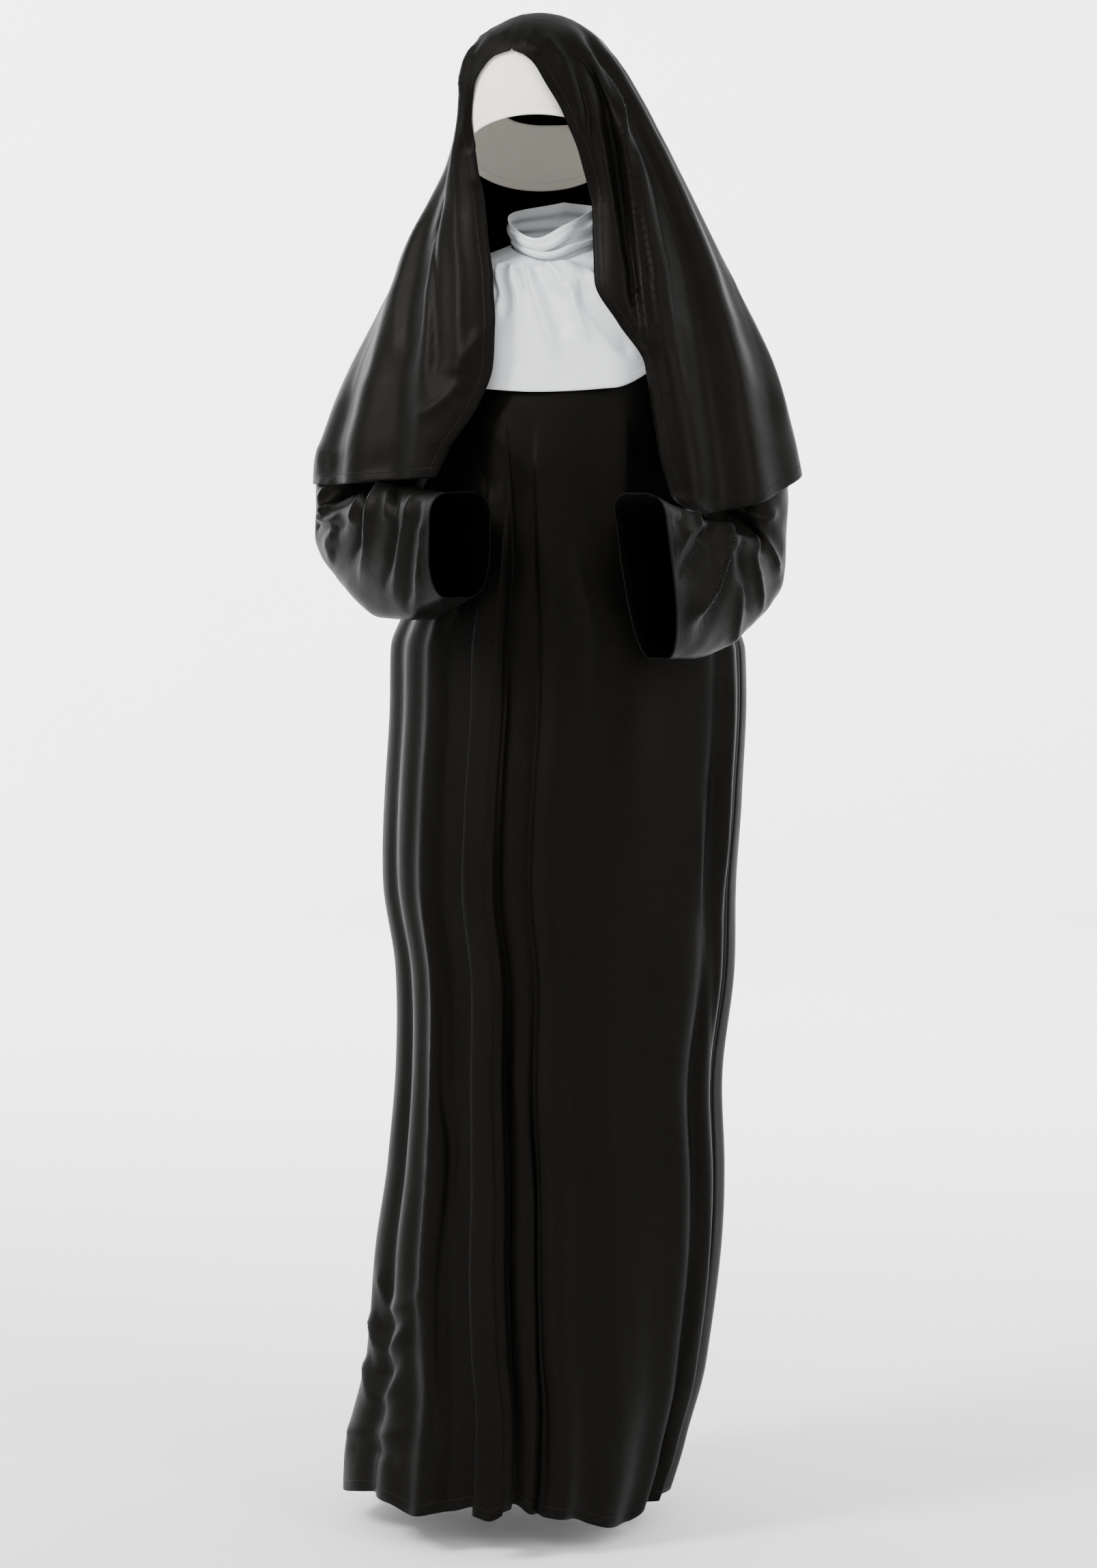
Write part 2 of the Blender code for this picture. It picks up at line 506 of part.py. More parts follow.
def bib_grid(angles, shares):
    """From the ring round the neck band to the bib's edge, which lies on the gown."""
    edge = curve(BIB_EDGE, "z", wrapped(angles), key="angle")
    a = np.radians(angles)
    ring = neck_point(angles, 0.10)
    ring = ring + np.stack([np.sin(a) * BIB_NECK, -np.cos(a) * BIB_NECK, 0 * a], -1)
    turn, step = 0.5, 0.002
    rows = []
    for share in shares:
        down = BIB_START + (edge - BIB_START) * np.clip((share - 0.25) / 0.75, 0.0, 1.0)
        base = gown_point(angles, down)
        du = gown_point(angles + turn, down) - gown_point(angles - turn, down)
        dv = gown_point(angles, down + step) - gown_point(angles, np.maximum(down - step, 0))
        normal = np.cross(dv, du)
        normal /= np.linalg.norm(normal, axis=-1, keepdims=True)
        lift = np.full(len(angles), BIB_LIFT + BIB_EASE * ease((0.62 - share) / 0.4))
        for fold in BIB_FOLDS:
            middle = fold.top_angle + (fold.hem_angle - fold.top_angle) * share
            height = fold.top + (fold.hem - fold.top) * share
            lift = lift + np.maximum(height, -0.001) * bump(wrapped(angles - middle), fold.width)
        outer = base + normal * lift[:, None]
        near = ease(share / 0.25)
        rows.append(ring * (1 - near) + outer * near if share < 0.25 else outer)
    return np.array(rows)


def band_point(angle, up):
    """A point of the headband's outer face, at an angle and a way up from its lower edge."""
    angle, up = np.broadcast_arrays(np.asarray(angle, float), np.asarray(up, float))
    a = np.radians(angle)
    s, c = np.sin(a), np.cos(a)
    deep = np.where(c >= 0, curve(BAND, "front", up), curve(BAND, "back", up))
    wide = curve(BAND, "wide", up)
    x = BAND_X + wide * s
    y = BAND_Y - deep * c
    slope = BAND_TILT_X * (x - BAND_X) + BAND_TILT_Y * (y - BAND_Y + 0.0905)
    high = BAND_HIGH - BAND_DROP * ease((1 - c) * 0.5)
    return np.stack([x, y, (BAND_LOW + slope) * (1 - up) + high * up], -1)


# Meshes.
def grid_normals(points, closed):
    """A normal at each point of a grid, from its neighbours."""
    if closed:
        du = np.roll(points, -1, axis=1) - np.roll(points, 1, axis=1)
    else:
        du = np.gradient(points, axis=1)
    dv = np.gradient(points, axis=0)
    normal = np.cross(du, dv)
    normal /= np.maximum(np.linalg.norm(normal, axis=-1, keepdims=True), 1e-12)
    middle = points.mean(axis=1, keepdims=True)
    sign = np.sign((normal * (points - middle)).sum(axis=-1).mean())
    return normal * sign


def cloth(name, points, wall, material, closed=False, pole=None):
    """A grid of points as a sheet of cloth with its wall inwards of the grid."""
    rows, columns = points.shape[:2]
    verts = [tuple(p) for p in points.reshape(-1, 3)]
    faces = []
    for i in range(rows - 1):
        for j in range(columns if closed else columns - 1):
            k = (j + 1) % columns
            faces.append((i * columns + j, i * columns + k, (i + 1) * columns + k, (i + 1) * columns + j))
    if pole is not None:
        verts.append(tuple(pole))
        for j in range(columns - 1):
            faces.append((len(verts) - 1, j + 1, j))
    mesh = bpy.data.meshes.new(name)
    mesh.from_pydata(verts, [], faces)
    outward(mesh, points)
    for polygon in mesh.polygons:
        polygon.use_smooth = True
    mesh.materials.append(bpy.data.materials[material])
    obj = bpy.data.objects.new(name, mesh)
    PARTS.objects.link(obj)
    solid = obj.modifiers.new("Wall", "SOLIDIFY")
    solid.thickness = wall
    solid.offset = -1.0
    solid.use_rim = True
    solid.use_even_offset = False
    return obj


def outward(mesh, points):
    """Turns the faces so that they look away from the middle of their row."""
    middle = Vector(points.reshape(-1, 3).mean(axis=0))
    total = 0.0
    for polygon in mesh.polygons:
        away = polygon.center - middle
        away.z = 0.0
        total += polygon.normal.dot(away) * polygon.area
    if total < 0:
        mesh.flip_normals()


def closed_cutter(name, rings):
    """Rings joined and capped at both ends."""
    rows, columns = rings.shape[:2]
    verts = [tuple(p) for p in rings.reshape(-1, 3)]
    faces = [tuple(range(columns)), tuple((rows - 1) * columns + j for j in reversed(range(columns)))]
    for i in range(rows - 1):
        for j in range(columns):
            k = (j + 1) % columns
            faces.append((i * columns + k, i * columns + j, (i + 1) * columns + j, (i + 1) * columns + k))
    mesh = bpy.data.meshes.new(name)
    mesh.from_pydata(verts, [], faces)
    corners = rings.reshape(-1, 3) - rings.reshape(-1, 3).mean(axis=0)
    volume = 0.0
    for face in faces:
        for i in range(1, len(face) - 1):
            volume += np.dot(corners[face[0]], np.cross(corners[face[i]], corners[face[i + 1]]))
    if volume < 0:
        mesh.flip_normals()
    obj = bpy.data.objects.new(name, mesh)
    obj.hide_render = True
    obj.display_type = "WIRE"
    CUTTERS.objects.link(obj)
    return obj


def cut(obj, cutter):
    """Takes a cutter out of a piece."""
    boolean = obj.modifiers.new("Cut_" + cutter.name, "BOOLEAN")
    boolean.operation = "DIFFERENCE"
    boolean.solver = "EXACT"
    boolean.object = cutter


def stations(low, high, step, edges=()):
    """Angles from low to high, a step apart, closer beside each pleat edge (angle, softness)."""
    marks = [low, high]
    for edge, soft in edges:
        marks += [edge + soft * k for k in (-2.4, -0.9, 0.0, 0.9, 2.4)]
    marks = sorted(marks)
    filled = []
    for a, b in zip(marks, marks[1:]):
        count = max(1, round((b - a) / step))
        filled += list(np.linspace(a, b, count, endpoint=False))
    return np.array(filled + [high])


def rest_on(grid, tree, gap, reach=0.035, fine=4):
    """Moves each point of a grid out from the upright axis until it clears the cloth under it, and
    its neighbours with it, so that the cloth bulges softly there. It looks at a finer grid too."""
    rows, columns = grid.shape[:2]
    down = np.linspace(0, rows - 1, (rows - 1) * fine + 1)
    across = np.linspace(0, columns - 1, (columns - 1) * fine + 1)
    i = np.minimum(down.astype(int), rows - 2)
    j = np.minimum(across.astype(int), columns - 2)
    v, u = (down - i)[:, None, None], (across - j)[None, :, None]
    top = grid[i][:, j] * (1 - u) + grid[i][:, j + 1] * u
    low = grid[i + 1][:, j] * (1 - u) + grid[i + 1][:, j + 1] * u
    points = top * (1 - v) + low * v
    ways = points * np.array([1.0, 1.0, 0.0])
    ways = ways / np.linalg.norm(ways, axis=2, keepdims=True)
    push = np.zeros(points.shape[:2])
    for r in range(points.shape[0]):
        for k in range(points.shape[1]):
            hit = tree.ray_cast(Vector(points[r, k] + ways[r, k] * reach), Vector(-ways[r, k]), 2 * reach)
            if hit[0] is not None:
                push[r, k] = max(0.0, reach - hit[3] + gap)
    for _ in range(fine):
        push = merged(push, np.maximum.reduce)
    need = push[::fine, ::fine]
    wide = need
    for _ in range(3):
        wide = np.maximum(merged(wide, lambda near: sum(near) / len(near)), need)
    return grid + ways[::fine, ::fine] * wide[..., None]


def merged(values, merge):
    """Each value merged with the eight round it."""
    padded = np.pad(values, 1, mode="edge")
    rows, columns = values.shape
    return merge([padded[i : i + rows, j : j + columns] for i in range(3) for j in range(3)])


def tree_of(grids):
    """A search tree over several grids (closed ones are given with their first column repeated)."""
    verts = []
    faces = []
    for points in grids:
        rows, columns = points.shape[:2]
        base = len(verts)
        verts += [Vector(p) for p in points.reshape(-1, 3)]
        for i in range(rows - 1):
            for j in range(columns - 1):
                a = base + i * columns + j
                faces.append((a, a + 1, a + columns + 1, a + columns))
    return BVHTree.FromPolygons(verts, faces)


def closed_up(points):
    """A closed grid with its first column repeated at the end."""
    return np.concatenate([points, points[:, :1]], axis=1)


# The scene.
for old in list(bpy.data.objects):
    bpy.data.objects.remove(old, do_unlink=True)
PARTS = bpy.data.collections.new(NAME)
CUTTERS = bpy.data.collections.new("cutters")
CUTTERS.hide_render = True
bpy.context.scene.collection.children.link(PARTS)
bpy.context.scene.collection.children.link(CUTTERS)

for slot, colour in MATERIALS.items():
    material = bpy.data.materials.new(slot)
    material.use_nodes = True
    shader = material.node_tree.nodes["Principled BSDF"]
    shader.inputs["Base Color"].default_value = (*colour, 1.0)
    shader.inputs["Roughness"].default_value = 0.55

# The gown: both panels come from one closed form, so they meet along the sides and the shoulders.
gap_angle = np.degrees(0.5 * SIDE_GAP / SKIRT_HALF)
front_edges = [(-32.5, 0.9), (-20.0, 0.7), (-10.5, 0.5)]
front_angles = stations(-SIDE + gap_angle, SIDE - gap_angle, 5.0, front_edges)
back_angles = stations(SIDE + gap_angle, 360 - SIDE - gap_angle, 6.0, [(170.0, 0.9), (181.5, 0.7)])
gown_shares = np.array([0.0, 0.03, 0.058, 0.085, 0.12, 0.175, 0.235, 0.28, 0.31, 0.345,
                        0.42, 0.51, 0.60, 0.69, 0.78, 0.87, 0.94, 1.0])
front_grid = np.array([gown_point(front_angles, gown_down(front_angles, s)) for s in gown_shares])
back_grid = np.array([gown_point(back_angles, gown_down(back_angles, s)) for s in gown_shares])
gown_front = cloth("gown_front", front_grid, CLOTH, "black_satin")
gown_back = cloth("gown_back", back_grid, CLOTH, "black_satin")

# The sleeves, and a cutter for each armhole just outside the sleeve that passes through it.
sleeve_turns = np.arange(24) * 15.0
sleeve_alongs = np.array([0.0, 0.07, 0.14, 0.21, 0.28, 0.35, 0.41, 0.47, 0.53, 0.60, 0.67, 0.75, 0.83, 0.92, 1.0])
sleeve_grids = {}
for side, name in ((-1, "sleeve_right"), (1, "sleeve_left")):
    grid = sleeve_grid(side, sleeve_turns, sleeve_alongs)
    sleeve_grids[side] = grid
    cloth(name, grid, CLOTH, "black_satin", closed=True)
    mouth = armhole(side, sleeve_turns)
    beyond = sleeve_point(side, sleeve_turns, sleeve_alongs[1:3])
    away = beyond - beyond.mean(axis=1, keepdims=True)
    beyond = beyond + away / np.linalg.norm(away, axis=2, keepdims=True) * CUT_CLEAR
    inner = mouth * np.array([CUT_INNER, 1.0, 1.0])
    cutter = closed_cutter("armhole_" + name[7:], np.array([inner, mouth, beyond[0], beyond[1]]))
    cut(gown_front, cutter)
    cut(gown_back, cutter)

# The bib lies on the gown and the neck band stands in its hole.
round_angles = np.arange(32) * 11.25 - 180.0
bib_rows = np.array([0.0, 0.12, 0.25, 0.40, 0.55, 0.70, 0.85, 1.0])
bib = bib_grid(round_angles, bib_rows)
cloth("collar_bib", bib, WHITE, "white_satin", closed=True)
neck_rows = np.array([0.0, 0.18, 0.34, 0.50, 0.66, 0.82, 1.0])
neck = np.array([neck_point(round_angles, up) for up in neck_rows])
cloth("neck_band", neck, WHITE, "white_satin", closed=True)

# The headband, and the veil that starts just outside it and falls over the gown and the sleeves.
band = np.array([band_point(round_angles, up) for up in (0.0, 0.25, 0.5, 0.75, 1.0)])
cloth("headband", band, WHITE, "cream_jersey", closed=True)
under = [front_grid, back_grid] + [closed_up(grid) for grid in sleeve_grids.values()] + [closed_up(bib)]
veil_stations = np.linspace(0.0, 1.0, 55)
veil_levels = np.array([0.2700, 0.2600, 0.2450, 0.2320, 0.2250, 0.2190, 0.2080, 0.1900, 0.1650, 0.1350, 0.1000,
                        0.0640, 0.0180, -0.0280])
veil = veil_grid(veil_stations, veil_levels, (0.22, 0.44, 0.64, 0.82, 1.0))
veil = rest_on(veil, tree_of(under), CLOTH + 0.0012)
pole = (VEIL[0].x, VEIL[0].y, VEIL[0].z)
veil_object = cloth("veil", veil, CLOTH, "black_satin", pole=pole)
weld = veil_object.modifiers.new("Crown", "WELD")
weld.merge_threshold = 0.0001
veil_object.modifiers.move(1, 0)
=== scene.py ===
# %% [markdown]
# # A nun habit
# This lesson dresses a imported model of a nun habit: a long black gown with a pleated front and wide
# sleeves, a white bib with a soft neck band, and a black veil on a cream headband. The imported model
# holds the true shape in a few large facets. Here every piece is made again with a fine surface, so
# that the cloth gets its creases, hems, stitches, weave and sheen.
#
# A garment can be made for Blender in several ways. It can be sculpted, it can be draped over a
# figure by a cloth simulation, or it can be worked out as rings of points. Rings were chosen: the
# same few sizes that shape the solids also shape the fine cloth, so both always agree, and each
# fold can be put exactly where it lies.

# %% Load the frame
from collections import namedtuple

import bmesh
import bpy
import numpy as np
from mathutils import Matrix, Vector
from mathutils.bvhtree import BVHTree


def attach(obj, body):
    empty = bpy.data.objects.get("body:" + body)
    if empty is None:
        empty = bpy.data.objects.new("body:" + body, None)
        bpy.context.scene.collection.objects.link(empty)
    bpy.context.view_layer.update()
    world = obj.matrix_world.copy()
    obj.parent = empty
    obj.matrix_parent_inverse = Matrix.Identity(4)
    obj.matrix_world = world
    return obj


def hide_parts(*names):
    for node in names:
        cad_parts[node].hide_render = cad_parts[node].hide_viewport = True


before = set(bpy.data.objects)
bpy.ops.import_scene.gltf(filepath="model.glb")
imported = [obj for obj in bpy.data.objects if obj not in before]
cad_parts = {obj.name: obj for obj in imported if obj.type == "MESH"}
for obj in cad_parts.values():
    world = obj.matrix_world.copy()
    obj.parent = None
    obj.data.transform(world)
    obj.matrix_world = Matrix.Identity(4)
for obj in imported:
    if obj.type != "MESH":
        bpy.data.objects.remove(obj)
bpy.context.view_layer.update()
print("pieces in the frame:", ", ".join(sorted(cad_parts)))

# %% [markdown]
# ## Curves through a few sizes
# A tailor writes down a width here and there and draws a smooth line between them. `through` does
# that: it is a curve that passes through every given value and never swings past one, so a waist
# stays as narrow as it was measured. A spline with handles would do too, but it can overshoot.

# %% Smooth curves
def through(x, y, at):
    """A curve through points that never swings past them. y may hold many columns."""
    gaps = np.diff(x)
    step = gaps.reshape((-1,) + (1,) * (y.ndim - 1))
    slope = np.diff(y, axis=0) / step
    tangent = np.zeros_like(y)
    tangent[0], tangent[-1] = slope[0], slope[-1]
    before, after = slope[:-1], slope[1:]
    near, far = 2 * step[1:] + step[:-1], step[1:] + 2 * step[:-1]
    with np.errstate(divide="ignore", invalid="ignore"):
        mean = (near + far) / (near / before + far / after)
    tangent[1:-1] = np.where(before * after > 0, mean, 0.0)
    at = np.clip(at, x[0], x[-1])
    i = np.clip(np.searchsorted(x, at, side="right") - 1, 0, len(x) - 2)
    h = step[i] if y.ndim > 1 else gaps[i]
    t = ((at - x[i]) / gaps[i]).reshape(h.shape if y.ndim > 1 else np.shape(at))
    return (
        (1 + 2 * t) * (1 - t) ** 2 * y[i]
        + t * (1 - t) ** 2 * h * tangent[i]
        + t * t * (3 - 2 * t) * y[i + 1]
        + t * t * (t - 1) * h * tangent[i + 1]
    )


def curve(rows, column, at):
    """The named column of a table at any value of its first column, as a smooth curve."""
    x = np.array([row[0] for row in rows], float)
    y = np.array([getattr(row, column) for row in rows], float)
    return through(x, y, np.asarray(at, float))


def curves(rows, names, at):
    """Several named columns at once."""
    return [curve(rows, name, at) for name in names.split()]


def ease(t):
    """0 below 0, 1 above 1 and smooth between."""
    t = np.clip(t, 0.0, 1.0)
    return t * t * (3 - 2 * t)


def wrapped(angle):
    """An angle brought to between -180 and 180."""
    return (angle + 180.0) % 360.0 - 180.0


def bump(distance, width):
    """A bell shape: 1 in the middle, 0.6 at its width."""
    return np.exp(-0.5 * (distance / width) ** 2)


def between(start, end, share):
    """The value at a share of the way from start to end."""
    return start + (end - start) * share


def way_along(points):
    """How far each point of a line is from its start, along the line."""
    steps = np.linalg.norm(np.diff(points, axis=0), axis=1)
    return np.concatenate([[0.0], np.cumsum(steps)])


def oval(angle, left, right, front, back):
    """The edge of an oval ring at an angle: how far it is across and back from the middle, and the
    normal there. Its four half sizes may differ."""
    a = np.radians(angle)
    s, c = np.sin(a), np.cos(a)
    wide = np.where(s < 0, left, right)
    deep = np.where(c >= 0, front, back)
    normal = np.stack([s / wide, -c / deep], -1)
    normal /= np.linalg.norm(normal, axis=-1, keepdims=True)
    return wide * s, -deep * c, normal


print("half way between 0 and 1 the ease is", float(ease(0.5)))

# %% [markdown]
# ## The form of the gown
# The gown hangs from the shoulders as a tube. Each row of the table is one ring of it: how far down
# the cloth it is, where its middle lies and how wide and deep it is. The shoulders slope because
# the first rings grow faster outwards than downwards. The skirt drifts to one side towards the hem,
# and `GOWN_SWING` turns the folds of the front along with it.

# %% Rings of the gown
SIDE = 90.0             # the angle of a side seam; the middle of the front is at 0
SHOULDER_WAY = 0.039    # way down the cloth less the drop in height, below the shoulders

# down: way down the cloth from the neck; z: height; x, y: middle of the ring;
# wide: half its width; front, back: half depths; tip: how far the front sits lower.
Ring = namedtuple("Ring", "down z x y wide front back tip")
GOWN = (
    Ring(0.000, 0.000, -0.004, -0.008, 0.085, 0.074, 0.070, 0.012),
    Ring(0.040, -0.015, -0.002, -0.004, 0.125, 0.090, 0.086, 0.010),
    Ring(0.080, -0.040, 0.000, 0.000, 0.164, 0.101, 0.098, 0.006),
    Ring(0.115, -0.076, 0.000, 0.000, 0.186, 0.110, 0.106, 0.002),
    Ring(0.155, -0.116, 0.000, 0.000, 0.178, 0.119, 0.114, 0.000),
    Ring(0.215, -0.176, 0.000, 0.000, 0.163, 0.130, 0.124, 0.000),
    Ring(0.275, -0.236, 0.000, 0.000, 0.154, 0.135, 0.129, 0.000),
    Ring(0.335, -0.296, 0.000, 0.000, 0.150, 0.135, 0.131, 0.000),
    Ring(0.385, -0.346, 0.001, 0.000, 0.158, 0.135, 0.132, 0.000),
    Ring(0.435, -0.396, 0.002, 0.000, 0.186, 0.135, 0.133, 0.000),
    Ring(0.475, -0.436, 0.003, 0.000, 0.202, 0.137, 0.135, 0.000),
    Ring(0.525, -0.486, 0.003, 0.001, 0.203, 0.141, 0.138, 0.000),
    Ring(0.640, -0.601, -0.002, -0.001, 0.203, 0.150, 0.146, 0.000),
    Ring(0.740, -0.701, -0.006, -0.002, 0.200, 0.155, 0.150, 0.000),
    Ring(0.840, -0.801, 0.000, 0.000, 0.191, 0.157, 0.153, 0.000),
    Ring(0.960, -0.921, -0.006, -0.003, 0.183, 0.159, 0.156, 0.000),
    Ring(1.060, -1.021, -0.009, -0.005, 0.189, 0.160, 0.158, 0.000),
    Ring(1.160, -1.121, -0.017, -0.010, 0.194, 0.164, 0.162, 0.000),
    Ring(1.290, -1.251, -0.029, -0.018, 0.189, 0.172, 0.170, 0.000),
    Ring(1.380, -1.341, -0.050, -0.029, 0.188, 0.178, 0.176, 0.000),
    Ring(1.450, -1.411, -0.061, -0.036, 0.179, 0.181, 0.180, 0.000),
)
# The lower gown drifts towards -X, so the folds of the front swing across as they fall.
# Angles round the gown are given where the cloth leaves the shoulders; swing is added on the way down.
Swing = namedtuple("Swing", "fall swing")
GOWN_SWING = (
    Swing(0.00, 0.0), Swing(0.50, 0.0), Swing(0.80, 1.7), Swing(1.00, 5.2), Swing(1.20, 12.4),
    Swing(1.38, 26.5), Swing(1.45, 28.0),
)
# The height of the hem at angles round the gown.
Hem = namedtuple("Hem", "angle z")
GOWN_HEM = (
    Hem(-180, -1.392), Hem(-120, -1.398), Hem(-90, -1.402), Hem(-75, -1.398), Hem(-66, -1.390),
    Hem(-57, -1.384), Hem(-49, -1.385), Hem(-41, -1.392), Hem(-34, -1.388), Hem(-28, -1.385),
    Hem(-22, -1.379), Hem(-15.5, -1.387), Hem(-8.5, -1.375), Hem(-1.5, -1.387), Hem(14, -1.392),
    Hem(22.5, -1.401), Hem(33, -1.409), Hem(47, -1.412), Hem(69, -1.399), Hem(90, -1.399),
    Hem(130, -1.396), Hem(180, -1.392),
)
# left, right: the angles of a pleat's two edges; soft: how wide each edge is; top, hem: how far it
# stands out; roll: how far its edges lean over; start: height where it comes out of the cloth.
Pleat = namedtuple("Pleat", "left right soft_left soft_right top hem roll start")
PLEATS = (
    Pleat(-20.0, -10.5, 0.70, 0.50, 0.009, 0.015, 0.0035, -0.22),
    Pleat(-32.5, -20.0, 0.90, 0.70, -0.005, -0.011, 0.0015, -0.25),
    Pleat(170.0, 181.5, 0.90, 0.70, 0.007, 0.014, 0.0025, -0.16),
)
# angle at the top and at the hem, width, height above the cloth at the top and at the hem.
Fold = namedtuple("Fold", "top_angle hem_angle width top hem")
GOWN_FOLDS = (
    Fold(-87, -87, 3.0, -0.002, -0.007),
    Fold(-76, -76, 5.0, 0.002, 0.008),
    Fold(-62, -61, 3.6, -0.003, -0.012),
    Fold(-50, -50, 4.6, 0.001, 0.004),
    Fold(-38, -37, 2.6, 0.004, 0.010),
    Fold(-4, -3.5, 2.6, 0.001, 0.005),
    Fold(2, 2, 1.8, -0.001, -0.007),
    Fold(8, 9, 2.8, 0.002, 0.007),
    Fold(17, 19, 4.2, -0.001, -0.003),
    Fold(29, 32, 6.0, 0.001, 0.004),
    Fold(45, 47, 5.4, -0.001, -0.003),
    Fold(57, 59, 4.4, 0.001, 0.004),
    Fold(69, 69, 2.6, -0.003, -0.010),
    Fold(78, 78, 3.2, 0.003, 0.008),
    Fold(87, 87, 2.4, -0.002, -0.008),
    Fold(99, 101, 4.8, 0.003, 0.010),
    Fold(111, 113, 3.4, -0.003, -0.012),
    Fold(124, 126, 5.0, 0.003, 0.011),
    Fold(138, 137, 4.0, -0.004, -0.014),
    Fold(153, 151, 5.2, 0.002, 0.010),
    Fold(164, 163, 3.2, -0.004, -0.009),
    Fold(194, 195, 4.2, -0.003, -0.012),
    Fold(207, 209, 5.4, 0.003, 0.012),
    Fold(220, 223, 3.8, -0.003, -0.013),
    Fold(234, 236, 5.0, 0.003, 0.010),
    Fold(247, 249, 3.4, -0.002, -0.011),
    Fold(260, 261, 4.4, 0.002, 0.008),
)
FOLD_START = -0.24      # height where the gown's folds begin to show
FOLD_END = -1.40        # height where they have their full size
FOLD_REACH = 0.16       # height over which they open

print("the gown has", len(GOWN), "rings,", len(PLEATS), "pleats and", len(GOWN_FOLDS), "long folds")

# %% [markdown]
# ## Pleats and folds of the gown
# A fold that hangs free is a soft wave in the cloth, so it is a bell-shaped bump across the angle
# that grows on the way down. A pleat is pressed: it is flat on top, with steep edges that lean over
# a little. The difference of two steps gives that shape, and a sideways shift makes the edges lean.

# %% Points of the gown
def gown_relief(angle, z):
    """How far the cloth stands out, and how far it leans sideways, at an angle and a height."""
    out = np.zeros(np.broadcast(angle, z).shape)
    lean = np.zeros_like(out)
    share = np.clip((FOLD_START - z) / (FOLD_START - FOLD_END), 0.0, 1.0)
    opened = ease((FOLD_START - z) / FOLD_REACH)
    for fold in GOWN_FOLDS:
        middle = between(fold.top_angle, fold.hem_angle, share)
        height = between(fold.top, fold.hem, share)
        out = out + opened * height * bump(wrapped(angle - middle), fold.width)
    for pleat in PLEATS:
        share = np.clip((pleat.start - z) / (pleat.start - FOLD_END), 0.0, 1.0)
        opened = ease((pleat.start - z) / FOLD_REACH)
        height = opened * between(pleat.top, pleat.hem, share)
        left = wrapped(angle - pleat.left) / pleat.soft_left
        right = wrapped(angle - pleat.right) / pleat.soft_right
        out = out + height * 0.5 * (np.tanh(left) - np.tanh(right))
        lip_left = left * np.exp(0.5 * (1 - left**2))
        lip_right = right * np.exp(0.5 * (1 - right**2))
        roll = opened * pleat.roll * (0.2 + 0.8 * share)
        lean = lean + roll * (lip_right - lip_left) * np.sign(pleat.hem)
    return out, lean


def gown_point(angle, down):
    """A point of the gown's outer face. angle 0 is the centre front, 90 the side at +X."""
    angle, down = np.broadcast_arrays(np.asarray(angle, float), np.asarray(down, float))
    z = curve(GOWN, "z", down)
    swing = curve(GOWN_SWING, "swing", -z) * np.maximum(1.0 - (wrapped(angle) / SIDE) ** 2, 0.0)
    across, back, n = oval(angle + swing, *curves(GOWN, "wide wide front back", down))
    z = z - curve(GOWN, "tip", down) * np.cos(np.radians(angle + swing))
    out, lean = gown_relief(angle, z)
    x = curve(GOWN, "x", down) + across + n[..., 0] * out - n[..., 1] * lean
    y = curve(GOWN, "y", down) + back + n[..., 1] * out + n[..., 0] * lean
    return np.stack([x, y, z], -1)


def gown_down(angle, share):
    """The way down at a share (0 neck, 1 hem) on each angle, so that the last row is the hem."""
    hem = curve(GOWN_HEM, "z", wrapped(angle))
    return share * (GOWN[-1].down + (GOWN[-1].z - hem))


print("the hem's front is at", gown_point(0.0, gown_down(np.array(0.0), 1.0)).round(3))

# %% [markdown]
# ## The form of the sleeves
# A sleeve is a tube whose middle follows the bent arm. Every row gives the middle of a section, the
# way it points and how far the cloth is from the middle on four sides. Near the cuff the sections
# hang: they are long downwards and narrow sideways, as a wide cuff is when the forearm is level.

# %% Sections of the sleeves
# The armhole is an oval on the gown: its middle and half height along "down", its half width in angle.
ARM_DOWN, ARM_HALF, ARM_ANGLE = 0.188, 0.084, 30.0
ARM_INSET = 0.0016      # the sleeve stands this far inside the armhole
ARM_DEEP = 0.13         # the gown's half depth there, which turns millimetres into degrees
HANG_FULL = 0.16        # how much fuller a hanging ring is at its corners than an ellipse
# x, y, z: middle of a section; heading, dip: the way the sleeve points there, from straight ahead
# towards +X, and below level; hang: 0 its long side faces back, 1 it hangs down;
# low, high, inner, outer: how far the cloth is from the middle on those sides.
Section = namedtuple("Section", "x y z heading dip hang low high inner outer")
SLEEVE_RIGHT = (
    Section(-0.199, -0.003, -0.188, -87, 31, 0.00, 0.066, 0.066, 0.068, 0.068),
    Section(-0.216, -0.008, -0.225, -81, 49, 0.10, 0.062, 0.060, 0.058, 0.065),
    Section(-0.226, -0.018, -0.262, -57, 64, 0.30, 0.058, 0.046, 0.052, 0.067),
    Section(-0.222, -0.034, -0.298, 14, 44, 0.60, 0.060, 0.036, 0.048, 0.060),
    Section(-0.195, -0.072, -0.300, 36, 22, 0.85, 0.080, 0.048, 0.043, 0.050),
    Section(-0.158, -0.113, -0.301, 42, 8, 1.00, 0.098, 0.049, 0.041, 0.046),
    Section(-0.122, -0.150, -0.301, 45, 4, 1.00, 0.098, 0.045, 0.040, 0.044),
    Section(-0.088, -0.184, -0.300, 48, 3, 1.00, 0.085, 0.041, 0.040, 0.041),
    Section(-0.057, -0.213, -0.298, 52, 2, 1.00, 0.074, 0.041, 0.041, 0.040),
)
